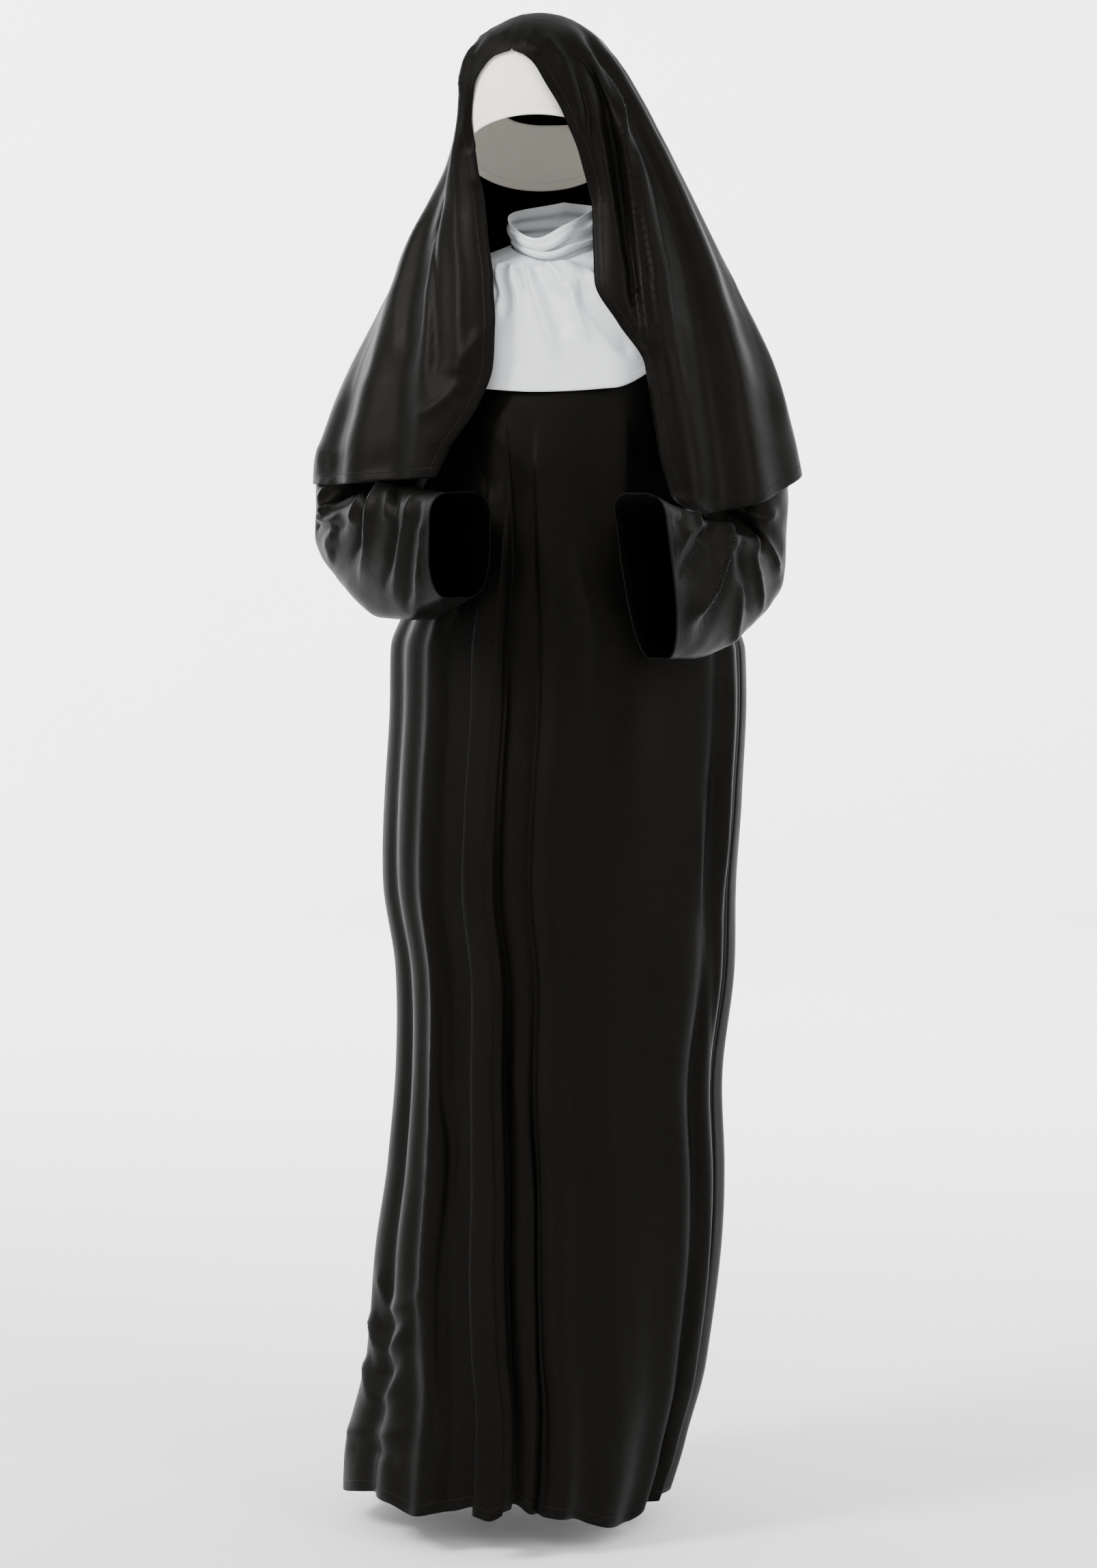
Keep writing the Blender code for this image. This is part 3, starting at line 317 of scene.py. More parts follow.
SLEEVE_LEFT = (
    Section(0.194, -0.002, -0.190, 87, 33, 0.00, 0.064, 0.064, 0.066, 0.060),
    Section(0.204, -0.006, -0.234, 80, 56, 0.10, 0.060, 0.056, 0.052, 0.051),
    Section(0.208, -0.014, -0.280, 50, 72, 0.30, 0.056, 0.044, 0.048, 0.048),
    Section(0.206, -0.030, -0.330, -4, 46, 0.60, 0.062, 0.034, 0.044, 0.047),
    Section(0.200, -0.082, -0.330, -12, 24, 0.85, 0.084, 0.034, 0.039, 0.042),
    Section(0.187, -0.142, -0.318, -14, 19, 1.00, 0.116, 0.033, 0.036, 0.039),
    Section(0.171, -0.200, -0.304, -16, 16, 1.00, 0.138, 0.032, 0.033, 0.036),
    Section(0.154, -0.252, -0.289, -18, 14, 1.00, 0.150, 0.032, 0.030, 0.034),
)

print("sections:", len(SLEEVE_RIGHT), "right,", len(SLEEVE_LEFT), "left")

# %% [markdown]
# Between two rows the sections change smoothly, so the sleeve has no rings in it. The last bit of
# the way, the start of the sleeve is pulled onto the armhole of the gown, where it is sewn on. A
# lofted curve would do the same in a modelling program, but here every point keeps its turn round
# the arm, and the creases can be placed by it.

# %% Points of the sleeves
def armhole(side, turn, grow=0.0):
    """The armhole's edge on the gown. turn 0 is its back, 90 its lowest point."""
    t = np.radians(turn)
    down = ARM_DOWN + (ARM_HALF + grow) * np.sin(t)
    angle = SIDE + (ARM_ANGLE + np.degrees(grow / ARM_DEEP)) * np.cos(t)
    return gown_point(side * angle, down)


def section_ring(row, side, turn):
    """One ring of a sleeve about its middle."""
    head, dip = np.radians(row.heading), np.radians(row.dip)
    along = np.array([np.sin(head) * np.cos(dip), -np.cos(head) * np.cos(dip), -np.sin(dip)])
    hint = (1 - row.hang) * np.array([0.58 * side, 0.81, 0.0]) + row.hang * np.array([0.0, 0.0, -1.0])
    low = hint - (hint @ along) * along
    low /= np.linalg.norm(low)
    inner = np.cross(along, low) * -side
    t = np.radians(turn)
    c, s = np.cos(t), np.sin(t)
    full = 1 + HANG_FULL * row.hang * s * s * c * c * 4
    reach_low = np.where(c > 0, row.low, row.high) * c
    reach_side = np.where(s > 0, row.inner, row.outer) * s
    return (
        np.array([row.x, row.y, row.z])
        + (reach_low * full)[..., None] * low
        + (reach_side * full)[..., None] * inner
    )


def sleeve_point(side, turn, along):
    """Points of a sleeve's outer face: turn goes round it, along runs from the armhole to the cuff."""
    turn = np.asarray(turn, float)
    sections = SLEEVE_RIGHT if side < 0 else SLEEVE_LEFT
    rings = [armhole(side, turn, -ARM_INSET)] + [section_ring(row, side, turn) for row in sections]
    rings = np.array(rings)
    place = way_along(rings.mean(axis=1))
    place /= place[-1]
    return through(place, rings, np.asarray(along, float))


print("the right cuff's lowest point is", sleeve_point(-1, [0.0], [1.0])[0, 0].round(3))

# %% [markdown]
# ## The form of the veil
# The veil is one big sheet that starts on the crown, is closed round the headband and then opens in
# front. Each row gives one level: half widths to both sides, depths to the front and back, and the
# two angles where the front edges lie. The hem has heights of its own, so that the lower rows lean
# towards it.

# %% Levels of the veil
# One ring a level: left and right are the half widths, left_edge and right_edge the angles of its
# two front edges. Where both are the same the ring is closed.
Level = namedtuple("Level", "z x y left right front back left_edge right_edge")
VEIL = (
    Level(0.2750, -0.021, -0.020, 0.004, 0.004, 0.004, 0.004, -5.0, -5.0),
    Level(0.2700, -0.021, -0.020, 0.026, 0.027, 0.036, 0.036, -5.0, -5.0),
    Level(0.2600, -0.021, -0.021, 0.046, 0.047, 0.060, 0.058, -5.0, -5.0),
    Level(0.2450, -0.020, -0.023, 0.067, 0.066, 0.080, 0.077, -5.0, -5.0),
    Level(0.2320, -0.020, -0.024, 0.076, 0.076, 0.089, 0.086, -5.0, -5.0),
    Level(0.2250, -0.020, -0.025, 0.080, 0.082, 0.0915, 0.089, -5.0, -5.0),
    Level(0.2190, -0.020, -0.025, 0.082, 0.086, 0.0930, 0.091, -20.0, 4.0),
    Level(0.2080, -0.020, -0.025, 0.085, 0.094, 0.0945, 0.093, -30.0, 11.5),
    Level(0.1900, -0.020, -0.025, 0.090, 0.105, 0.0955, 0.096, -38.0, 16.5),
    Level(0.1550, -0.020, -0.025, 0.0925, 0.125, 0.096, 0.100, -43.0, 24.0),
    Level(0.1090, -0.018, -0.018, 0.1080, 0.146, 0.100, 0.108, -32.0, 27.0),
    Level(0.0640, -0.013, -0.010, 0.1390, 0.163, 0.106, 0.116, -22.0, 26.5),
    Level(0.0180, -0.007, -0.004, 0.1715, 0.179, 0.118, 0.124, -17.0, 23.5),
    Level(-0.0280, 0.000, 0.000, 0.2020, 0.194, 0.134, 0.132, -13.5, 21.0),
    Level(-0.0740, 0.000, 0.000, 0.2235, 0.2155, 0.146, 0.140, -10.5, 27.0),
    Level(-0.1200, 0.000, 0.000, 0.2460, 0.2360, 0.154, 0.147, -9.5, 33.0),
    Level(-0.1660, 0.000, 0.000, 0.2660, 0.2520, 0.160, 0.153, -12.5, 33.0),
    Level(-0.2120, 0.000, 0.000, 0.2810, 0.2650, 0.168, 0.158, -18.0, 33.5),
    Level(-0.2700, 0.000, 0.000, 0.2850, 0.2740, 0.176, 0.164, -22.0, 36.0),
    Level(-0.3700, 0.000, 0.000, 0.2700, 0.2600, 0.180, 0.172, -24.0, 38.0),
)
# Angles here run from the left edge round the back to the right edge.
VEIL_HEM = (
    Hem(-342, -0.284), Hem(-322, -0.284), Hem(-300, -0.272), Hem(-270, -0.240), Hem(-255, -0.227),
    Hem(-225, -0.285), Hem(-180, -0.350), Hem(-140, -0.300), Hem(-105, -0.250), Hem(-90, -0.249),
    Hem(-65, -0.250), Hem(-40, -0.247), Hem(-18, -0.242), Hem(0, -0.240),
)
VEIL_SPLIT = -0.028     # above this the rows are level, below they lean towards the hem
VEIL_FOLD_TOP, VEIL_FOLD_FALL = 0.20, 0.42      # where its folds begin, and how far they grow
VEIL_SMOOTH_TOP, VEIL_OPENING = 0.262, 0.05     # above this it is smooth; height of the change
EDGE_WIDE, EDGE_LEFT_IN, EDGE_RIGHT_IN = 3.2, 0.007, 0.008     # how its front edges turn in
VEIL_FOLDS = (
    Fold(-52, -24, 5.0, 0.006, 0.010),
    Fold(-68, -34, 5.0, -0.003, -0.009),
    Fold(-84, -47, 6.5, 0.002, 0.008),
    Fold(-98, -62, 6.0, -0.002, -0.009),
    Fold(-112, -78, 7.0, 0.002, 0.006),
    Fold(-126, -98, 6.5, -0.002, -0.009),
    Fold(-140, -118, 6.5, 0.003, 0.011),
    Fold(-153, -138, 6.0, -0.003, -0.012),
    Fold(-167, -157, 6.5, 0.003, 0.012),
    Fold(-181, -178, 6.0, -0.003, -0.013),
    Fold(-195, -197, 6.5, 0.003, 0.012),
    Fold(-209, -216, 6.0, -0.003, -0.012),
    Fold(-222, -235, 6.5, 0.003, 0.011),
    Fold(-236, -254, 6.0, -0.003, -0.010),
    Fold(-250, -270, 6.5, 0.003, 0.005),
    Fold(-264, -285, 5.5, -0.003, -0.004),
    Fold(-277, -299, 5.5, 0.004, 0.006),
    Fold(-291, -310, 5.0, -0.010, -0.009),
    Fold(-307, -319, 5.0, 0.008, 0.010),
)

print("the veil has", len(VEIL), "levels and", len(VEIL_FOLDS), "long folds")

# %% [markdown]
# A point of the veil is found from an angle and a height. The folds are added to the radius, so they
# open outwards on the way down as cloth that hangs from a round edge does.

# %% Points of the veil
Fall = namedtuple("Fall", "fall x y left right front back left_edge right_edge")
VEIL_ROWS = tuple(Fall(-row.z, *row[1:]) for row in VEIL)


def veil_point(angle, z):
    """A point of the veil's outer face. angle runs from the left front edge, through -180 at the
    back, to the right front edge near -340."""
    angle, z = np.broadcast_arrays(np.asarray(angle, float), np.asarray(z, float))
    across, back, n = oval(angle, *curves(VEIL_ROWS, "left right front back", -z))
    share = np.clip((VEIL_FOLD_TOP - z) / VEIL_FOLD_FALL, 0.0, 1.0)
    out = np.zeros(angle.shape)
    for fold in VEIL_FOLDS:
        middle = between(fold.top_angle, fold.hem_angle, ease(share))
        height = between(fold.top, fold.hem, share)
        out = out + height * bump(angle - middle, fold.width)
    edge_left = curve(VEIL_ROWS, "left_edge", -z) - angle
    edge_right = angle + 360.0 - curve(VEIL_ROWS, "right_edge", -z)
    turned_left = EDGE_LEFT_IN * bump(edge_left, EDGE_WIDE)
    turned_right = EDGE_RIGHT_IN * bump(edge_right, EDGE_WIDE)
    out = out - ease((VEIL_FOLD_TOP - z) / VEIL_OPENING) * (turned_left + turned_right)
    strength = ease((VEIL_SMOOTH_TOP - z) / VEIL_OPENING)
    x = curve(VEIL_ROWS, "x", -z) + across + n[..., 0] * out * strength
    y = curve(VEIL_ROWS, "y", -z) + back + n[..., 1] * out * strength
    return np.stack([x, y, z], -1)


def veil_angles(stations, z):
    """The stations (0 to 1) as angles at a height, between the two front edges there."""
    left = curve(VEIL_ROWS, "left_edge", -z)
    right = curve(VEIL_ROWS, "right_edge", -z) - 360.0
    return between(left, right, stations)


print("its left edge at the chin is at", veil_point(veil_angles(0.0, 0.06), 0.06).round(3))

# %% [markdown]
# ## The form of the white pieces
# The bib is a yoke that lies on the gown, so it has no form of its own: its points are those of the
# gown, moved out along the normal. The neck band is a stack of rings that bulge and pinch, which is
# how a soft tube slumps. The headband is a smooth ring that narrows towards the crown.

# %% Rings of the bib, the neck band and the headband
# The bib runs from the neck band to an edge on the gown, given as "down" at angles round it.
BIB_EDGE = (
    Hem(-180, 0.170), Hem(-150, 0.165), Hem(-90, 0.092), Hem(-60, 0.128), Hem(-30, 0.180),
    Hem(0, 0.188), Hem(30, 0.184), Hem(60, 0.130), Hem(90, 0.092), Hem(150, 0.165), Hem(180, 0.170),
)
BIB_LIFT = 0.0050       # its outer face above the gown's
BIB_CLEAR = 0.0022      # more of that beside the neck band, which it passes at this distance
BIB_START = 0.004       # where it meets the gown, as "down"
BIB_RISE = 0.25         # the share of its way on which it comes down from the band to the gown
BIB_UNDER_BAND = 0.10   # how far up the neck band it begins
BIB_DEEPEST = -0.001    # no valley is deeper, or the gown would show through
BIB_FOLDS = (
    Fold(-75, -62, 6.0, 0.003, 0.002),
    Fold(-44, -30, 5.0, -0.001, -0.001),
    Fold(-30, -12, 5.0, 0.004, 0.003),
    Fold(-8, 8, 5.0, -0.001, -0.001),
    Fold(12, 30, 5.0, 0.005, 0.004),
    Fold(40, 52, 6.0, 0.003, 0.002),
    Fold(150, 160, 8.0, 0.003, 0.003),
    Fold(205, 200, 8.0, 0.003, 0.003),
)
NECK_X, NECK_Y = -0.002, -0.020
# up: way up the neck band; wide, front, back: half sizes; x, y: lean of its middle.
Neck = namedtuple("Neck", "up wide front back x y")
NECK = (
    Neck(0.00, 0.0520, 0.0560, 0.0520, 0.002, 0.001),
    Neck(0.18, 0.0505, 0.0545, 0.0510, 0.001, 0.001),
    Neck(0.34, 0.0535, 0.0575, 0.0530, 0.001, 0.000),
    Neck(0.50, 0.0490, 0.0525, 0.0495, 0.000, 0.000),
    Neck(0.66, 0.0515, 0.0550, 0.0510, -0.002, -0.002),
    Neck(0.82, 0.0475, 0.0515, 0.0480, -0.003, -0.004),
    Neck(1.00, 0.0490, 0.0520, 0.0490, -0.005, -0.006),
)
NECK_LOW = (Hem(-180, 0.020), Hem(-90, 0.016), Hem(-40, 0.004), Hem(12, -0.008), Hem(50, 0.003),
            Hem(90, 0.014), Hem(180, 0.020))
NECK_HIGH = (Hem(-180, 0.068), Hem(-90, 0.052), Hem(-45, 0.035), Hem(-3, 0.022), Hem(35, 0.037),
             Hem(90, 0.056), Hem(180, 0.068))
BAND_X, BAND_Y = -0.0225, -0.025
BAND_TILT_X, BAND_TILT_Y = 0.12, -0.38   # slope of its lower edge to the side and to the back
BAND_LOW, BAND_HIGH = 0.153, 0.236       # its edges at the centre front
BAND_DROP = 0.078                        # how far its upper edge comes down at the back
BAND_DEEP = 0.0905                       # how far its front lies before its middle
Band = namedtuple("Band", "up wide front back")
BAND = (
    Band(0.00, 0.0820, 0.0895, 0.0880),
    Band(0.25, 0.0825, 0.0905, 0.0880),
    Band(0.50, 0.0812, 0.0902, 0.0875),
    Band(0.75, 0.0770, 0.0882, 0.0870),
    Band(1.00, 0.0680, 0.0812, 0.0860),
)

print("bib folds:", len(BIB_FOLDS), "neck rings:", len(NECK), "headband rings:", len(BAND))

# %% [markdown]
# These three pieces all use the same idea: a ring for each height, and between the rings a smooth
# curve. The bib asks the gown for its points, so it follows every change made to the gown.

# %% Points of the white pieces
def neck_point(angle, up):
    """A point of the neck band: up is 0 at its lower edge and 1 at its upper edge."""
    angle, up = np.broadcast_arrays(np.asarray(angle, float), np.asarray(up, float))
    across, back, _ = oval(angle, *curves(NECK, "wide wide front back", up))
    low = curve(NECK_LOW, "z", wrapped(angle))
    high = curve(NECK_HIGH, "z", wrapped(angle))
    x = NECK_X + curve(NECK, "x", up) + across
    y = NECK_Y + curve(NECK, "y", up) + back
    return np.stack([x, y, between(low, high, up)], -1)


def bib_grid(angles, shares):
    """From the ring round the neck band to the bib's edge, which lies on the gown."""
    edge = curve(BIB_EDGE, "z", wrapped(angles))
    a = np.radians(angles)
    ring = neck_point(angles, BIB_UNDER_BAND)
    ring = ring + np.stack([np.sin(a) * BIB_CLEAR, -np.cos(a) * BIB_CLEAR, 0 * a], -1)
    rows = []
    for share in shares:
        laid = np.clip((share - BIB_RISE) / (1 - BIB_RISE), 0.0, 1.0)
        down = between(BIB_START, edge, laid)
        base = gown_point(angles, down)
        du = gown_point(angles + 0.5, down) - gown_point(angles - 0.5, down)
        dv = gown_point(angles, down + 0.002) - gown_point(angles, np.maximum(down - 0.002, 0))
        normal = np.cross(dv, du)
        normal /= np.linalg.norm(normal, axis=-1, keepdims=True)
        lift = BIB_LIFT + BIB_CLEAR * ease((0.62 - share) / 0.4) + 0.0 * angles
        for fold in BIB_FOLDS:
            middle = between(fold.top_angle, fold.hem_angle, share)
            height = np.maximum(between(fold.top, fold.hem, share), BIB_DEEPEST)
            lift = lift + height * bump(wrapped(angles - middle), fold.width)
        outer = base + normal * lift[:, None]
        near = ease(share / BIB_RISE)
        rows.append(ring * (1 - near) + outer * near if share < BIB_RISE else outer)
    return np.array(rows)


def band_point(angle, up):
    """A point of the headband: up is 0 at its lower edge and 1 at its upper edge."""
    angle, up = np.broadcast_arrays(np.asarray(angle, float), np.asarray(up, float))
    across, back, _ = oval(angle, *curves(BAND, "wide wide front back", up))
    x = BAND_X + across
    y = BAND_Y + back
    slope = BAND_TILT_X * (x - BAND_X) + BAND_TILT_Y * (y - BAND_Y + BAND_DEEP)
    high = BAND_HIGH - BAND_DROP * ease((1 - np.cos(np.radians(angle))) * 0.5)
    return np.stack([x, y, (BAND_LOW + slope) * (1 - up) + high * up], -1)


print("the neck band's front top is at", neck_point(0.0, 1.0).round(3))

# %% [markdown]
# ## Creases placed one by one
# What makes cloth look like cloth are the small creases, and no two are alike. Each crease here is a
# short line on the piece, given in the piece's own coordinates, with a height and a width on either
# side: narrow on the side where the cloth turns sharply, wide where it runs out. The line is laid on
# the form, and every point near it is moved along its normal. A crease fades out at both ends.
# A displacement picture could do the same, but a short table is easier to read and to change.

# %% Creases
Crease = namedtuple("Crease", "height left right path")
CREST_STEEP = 1.1       # how fast a fold falls off beside its top
CREST_ROUND = 0.12      # how round the top is
CREST_TOP = 0.346       # the root of that, so the top is as high as the table says
CREASE_ENDS = 0.22      # the share of its length on which a crease fades in and out


def grid_normals(points, closed):
    """A normal at each point of a grid, from its neighbours, looking away from the row's middle."""
    if closed:
        du = np.roll(points, -1, axis=1) - np.roll(points, 1, axis=1)
    else:
        du = np.gradient(points, axis=1)
    dv = np.gradient(points, axis=0)
    normal = np.cross(du, dv)
    normal /= np.maximum(np.linalg.norm(normal, axis=-1, keepdims=True), 1e-12)
    middle = points.mean(axis=1, keepdims=True)
    return normal * np.sign((normal * (points - middle)).sum(axis=-1).mean())


def crest(distance, width):
    """Like a bump, but narrow on top with long soft feet, as cloth folds are."""
    share = distance / width
    return np.exp(-CREST_STEEP * (np.sqrt(share**2 + CREST_ROUND) - CREST_TOP))


def crease_line(path, place, spacing=0.004):
    """The crease's line on the form, as points a few millimetres apart."""
    path = np.array(path, float)
    marks = np.arange(len(path), dtype=float)
    rough = place(*through(marks, path, np.linspace(0, marks[-1], 40)).T)
    count = int(np.linalg.norm(np.diff(rough, axis=0), axis=1).sum() / spacing) + 4
    return place(*through(marks, path, np.linspace(0, marks[-1], count)).T)


def crease_heights(points, normals, creases, place, opening=(1.0, 1.0)):
    """How far the creases move each point of a grid along its normal. opening is how many times as
    wide as its table says a crease is at its start and at its end."""
    flat, flat_normals = points.reshape(-1, 3), normals.reshape(-1, 3)
    out = np.zeros(len(flat))
    for crease in creases:
        line = crease_line(crease.path, place)
        reach = 4.0 * max(crease.left, crease.right)
        inside = ((flat > line.min(axis=0) - reach) & (flat < line.max(axis=0) + reach)).all(axis=1)
        near = np.nonzero(inside)[0]
        if not len(near):
            continue
        way = np.gradient(line, axis=0)
        share = np.linspace(0.0, 1.0, len(line))
        fade = ease(share / CREASE_ENDS) * ease((1.0 - share) / CREASE_ENDS)
        for block in np.array_split(near, len(near) // 4000 + 1):
            offset = flat[block][:, None, :] - line[None, :, :]
            distance = np.linalg.norm(offset, axis=2)
            k = distance.argmin(axis=1)
            rows = np.arange(len(block))
            across = np.cross(flat_normals[block], way[k])
            on_right = (across * offset[rows, k]).sum(axis=1) > 0
            width = np.where(on_right, crease.right, crease.left)
            width = width * between(*opening, share[k])
            out[block] += crease.height * fade[k] * crest(distance[rows, k], width)
    return out.reshape(points.shape[:2])


WAVE_START = 6.3        # each swell starts somewhere within one whole turn


def soft_waves(points, seed, count, shortest, longest, height, upright=0.25):
    """Faint swells of uneven length that mostly run downwards."""
    rng = np.random.default_rng(seed)
    out = np.zeros(points.shape[:-1])
    for _ in range(count):
        length = shortest * (longest / shortest) ** rng.random()
        turn = rng.random() * 2 * np.pi
        way = np.array([np.cos(turn), np.sin(turn), upright * rng.normal()]) * 2 * np.pi / length
        out += np.sin(points @ way + rng.random() * WAVE_START) * (length / longest) ** 0.5
    return out * height / count**0.5


print("one width away a crease still has", round(float(crest(1.0, 1.0)), 2), "of its height")

# %% [markdown]
# ## From a grid of points to cloth
# All pieces become meshes in the same way. The grid gives the faces, two attributes keep the place
# on the flat cloth (in metres) and the distance to the nearest free edge, and a Solidify modifier
# gives the cloth its thickness inwards. The weave and the hems are drawn later from the attributes,
# so they follow the cloth round every fold.

# %% Making cloth
WALL = 0.0009           # how thick the cloth is made
NO_HEM = 0.5            # the margin where there is no hem near, in metres


def mesh_object(name, verts, faces, material):
    """A smooth mesh with one material, put into the scene."""
    mesh = bpy.data.meshes.new(name)
    mesh.from_pydata(verts, [], faces)
    mesh.polygons.foreach_set("use_smooth", np.ones(len(faces), bool))
    mesh.materials.append(material)
    obj = bpy.data.objects.new(name, mesh)
    bpy.context.scene.collection.objects.link(obj)
    return obj


def flat_places(points, closed):
    """The place of each point on the flat cloth: the way across and the way down, in metres."""
    across = np.linalg.norm(np.diff(points, axis=1), axis=2)
    across = np.concatenate([np.zeros((len(points), 1)), np.cumsum(across, axis=1)], axis=1)
    if not closed:
        across = across - across[:, -1:] * 0.5
    down = np.linalg.norm(np.diff(points, axis=0), axis=2)
    down = np.concatenate([np.zeros((1, points.shape[1])), np.cumsum(down, axis=0)], axis=0)
    return np.stack([across, down, np.zeros_like(down)], -1)


def from_row(grid, row):
    """How far each point is from one row of its grid, along the cloth."""
    down = flat_places(grid, False)[..., 1]
    return np.abs(down - down[row][None, :])


def grid_faces(rows, columns, closed):
    """The four corners of every face between neighbouring rows and columns."""
    i = np.arange(rows - 1)[:, None]
    j = np.arange(columns if closed else columns - 1)[None, :]
    k = (j + 1) % columns
    here, below = i * columns, (i + 1) * columns
    return np.stack([here + j, here + k, below + k, below + j], -1)


def cloth(name, points, material, closed=False, keep=None, edge=None):
    """A grid of points as a piece of cloth. keep says which faces stay, edge how far a point is from
    a hem."""
    rows, columns = points.shape[:2]
    faces = grid_faces(rows, columns, closed)
    if keep is not None:
        faces = faces[keep]
    faces = faces.reshape(-1, 4)
    used, faces = np.unique(faces, return_inverse=True)
    faces = faces.reshape(-1, 4)
    flat = points.reshape(-1, 3)[used]
    middle = points.mean(axis=1, keepdims=True).repeat(columns, axis=1).reshape(-1, 3)[used]
    a, b, c, d = (flat[faces[:, n]] for n in range(4))
    normal = np.cross(c - a, d - b)
    if (normal * (a - middle[faces[:, 0]])).sum() < 0:
        faces = faces[:, ::-1]
    obj = mesh_object(name, flat.tolist(), faces.tolist(), material)
    kept = obj.data.attributes
    place = flat_places(points, closed).reshape(-1, 3)[used]
    kept.new("place", "FLOAT_VECTOR", "POINT").data.foreach_set("vector", place.ravel())
    margin = np.full(len(flat), NO_HEM) if edge is None else edge.reshape(-1)[used]
    kept.new("margin", "FLOAT", "POINT").data.foreach_set("value", margin)
    solid = obj.modifiers.new("Wall", "SOLIDIFY")
    solid.thickness = WALL
    solid.offset = -1.0
    print(name, "has", len(faces), "faces on its outer side")
    return obj


print("a cloth is", WALL, "m thick")

# %% [markdown]
# ## Black satin
# The black cloth is a thin polyester satin. Its threads float over several others before they dip,
# which leaves fine slanted lines and a soft grey shine on the side that faces the light. A plain
# dark colour with some gloss would look like plastic. So the weave is drawn as a very small bump,
# the roughness varies a little over the cloth, and sheen lifts the colour where the cloth turns away.

# %% A weave for every cloth
def new_material(name, colour):
    material = bpy.data.materials.new(name)
    material.use_nodes = True
    shader = material.node_tree.nodes["Principled BSDF"]
    shader.inputs["Base Color"].default_value = (*colour, 1.0)
    return material, shader


def wire(material, start, end):
    material.node_tree.links.new(start, end)


def math_node(material, operation, first, second):
    """A Math node whose inputs are sockets or numbers."""
    node = material.node_tree.nodes.new("ShaderNodeMath")
    node.operation = operation
    for socket, value in zip(node.inputs, (first, second)):
        if isinstance(value, (int, float)):
            socket.default_value = value
        else:
            wire(material, value, socket)
    return node.outputs[0]


def attribute_node(material, name):
    node = material.node_tree.nodes.new("ShaderNodeAttribute")
    node.attribute_name = name
    return node


def stretched(material, vector, scale):
    node = material.node_tree.nodes.new("ShaderNodeMapping")
    node.inputs["Scale"].default_value = scale
    wire(material, vector, node.inputs["Vector"])
    return node.outputs[0]


def noise(material, vector, scale, detail=3.0):
    node = material.node_tree.nodes.new("ShaderNodeTexNoise")
    node.inputs["Scale"].default_value = scale
    node.inputs["Detail"].default_value = detail
    wire(material, vector, node.inputs["Vector"])
    return node.outputs["Fac"]


def threads(material, vector, pitch, slant):
    """Fine lines a pitch apart, turned by an angle."""
    turn = material.node_tree.nodes.new("ShaderNodeMapping")
    turn.inputs["Rotation"].default_value = (0.0, 0.0, slant)
    wire(material, vector, turn.inputs["Vector"])
    node = material.node_tree.nodes.new("ShaderNodeTexWave")
    node.bands_direction = "X"
    node.inputs["Scale"].default_value = 1.0 / (pitch * 3.1831)
    node.inputs["Distortion"].default_value = 0.6
    node.inputs["Detail Scale"].default_value = 2.0
    wire(material, turn.outputs[0], node.inputs["Vector"])
    return node.outputs["Fac"]


def ramp(material, fac, low, high, low_value, high_value):
    """Maps a value between low and high onto low_value to high_value."""
    node = material.node_tree.nodes.new("ShaderNodeMapRange")
    node.interpolation_type = "SMOOTHSTEP"
    names = ("From Min", "From Max", "To Min", "To Max")
    for socket, value in zip(names, (low, high, low_value, high_value)):
        node.inputs[socket].default_value = value
    wire(material, fac, node.inputs["Value"])
    return node.outputs["Result"]


def bumped(material, shader, height, strength, distance, below=None):
    node = material.node_tree.nodes.new("ShaderNodeBump")
    node.inputs["Strength"].default_value = strength
    node.inputs["Distance"].default_value = distance
    wire(material, height, node.inputs["Height"])
    if below is not None:
        wire(material, below, node.inputs["Normal"])
    wire(material, node.outputs["Normal"], shader.inputs["Normal"])
    return node.outputs["Normal"]


def tinted(material, shader, fac, first, second):
    """The colour goes from first to second as fac goes from 0 to 1."""
    node = material.node_tree.nodes.new("ShaderNodeMix")
    node.data_type = "RGBA"
    node.inputs["A"].default_value = (*first, 1.0)
    node.inputs["B"].default_value = (*second, 1.0)
    wire(material, fac, node.inputs["Factor"])
    wire(material, node.outputs["Result"], shader.inputs["Base Color"])


def hem_relief(material, hem):
    """A turned hem: cloth that is thicker up to its stitch line, with a small groove along it."""
    margin = attribute_node(material, "margin").outputs["Fac"]
    thick = ramp(material, margin, hem, hem + 0.0014, 1.0, 0.0)
    away = math_node(material, "ABSOLUTE", math_node(material, "SUBTRACT", margin, hem), 0.0)
    groove = ramp(material, away, 0.0, 0.0011, 1.0, 0.0)
    return math_node(material, "SUBTRACT", thick, groove)


print("weave helpers are ready")

# %% [markdown]
# ## Three cloths
# With the helpers, each cloth is a short recipe. Satin gets slanted lines and a gloss that varies
# over large soft patches. Jersey gets columns of loops, no gloss and a little light that goes
# through. White cloth is given a grey of about a half, because a true white under these lights
# would lose its folds. The numbers were found by comparing small renders with the photo.

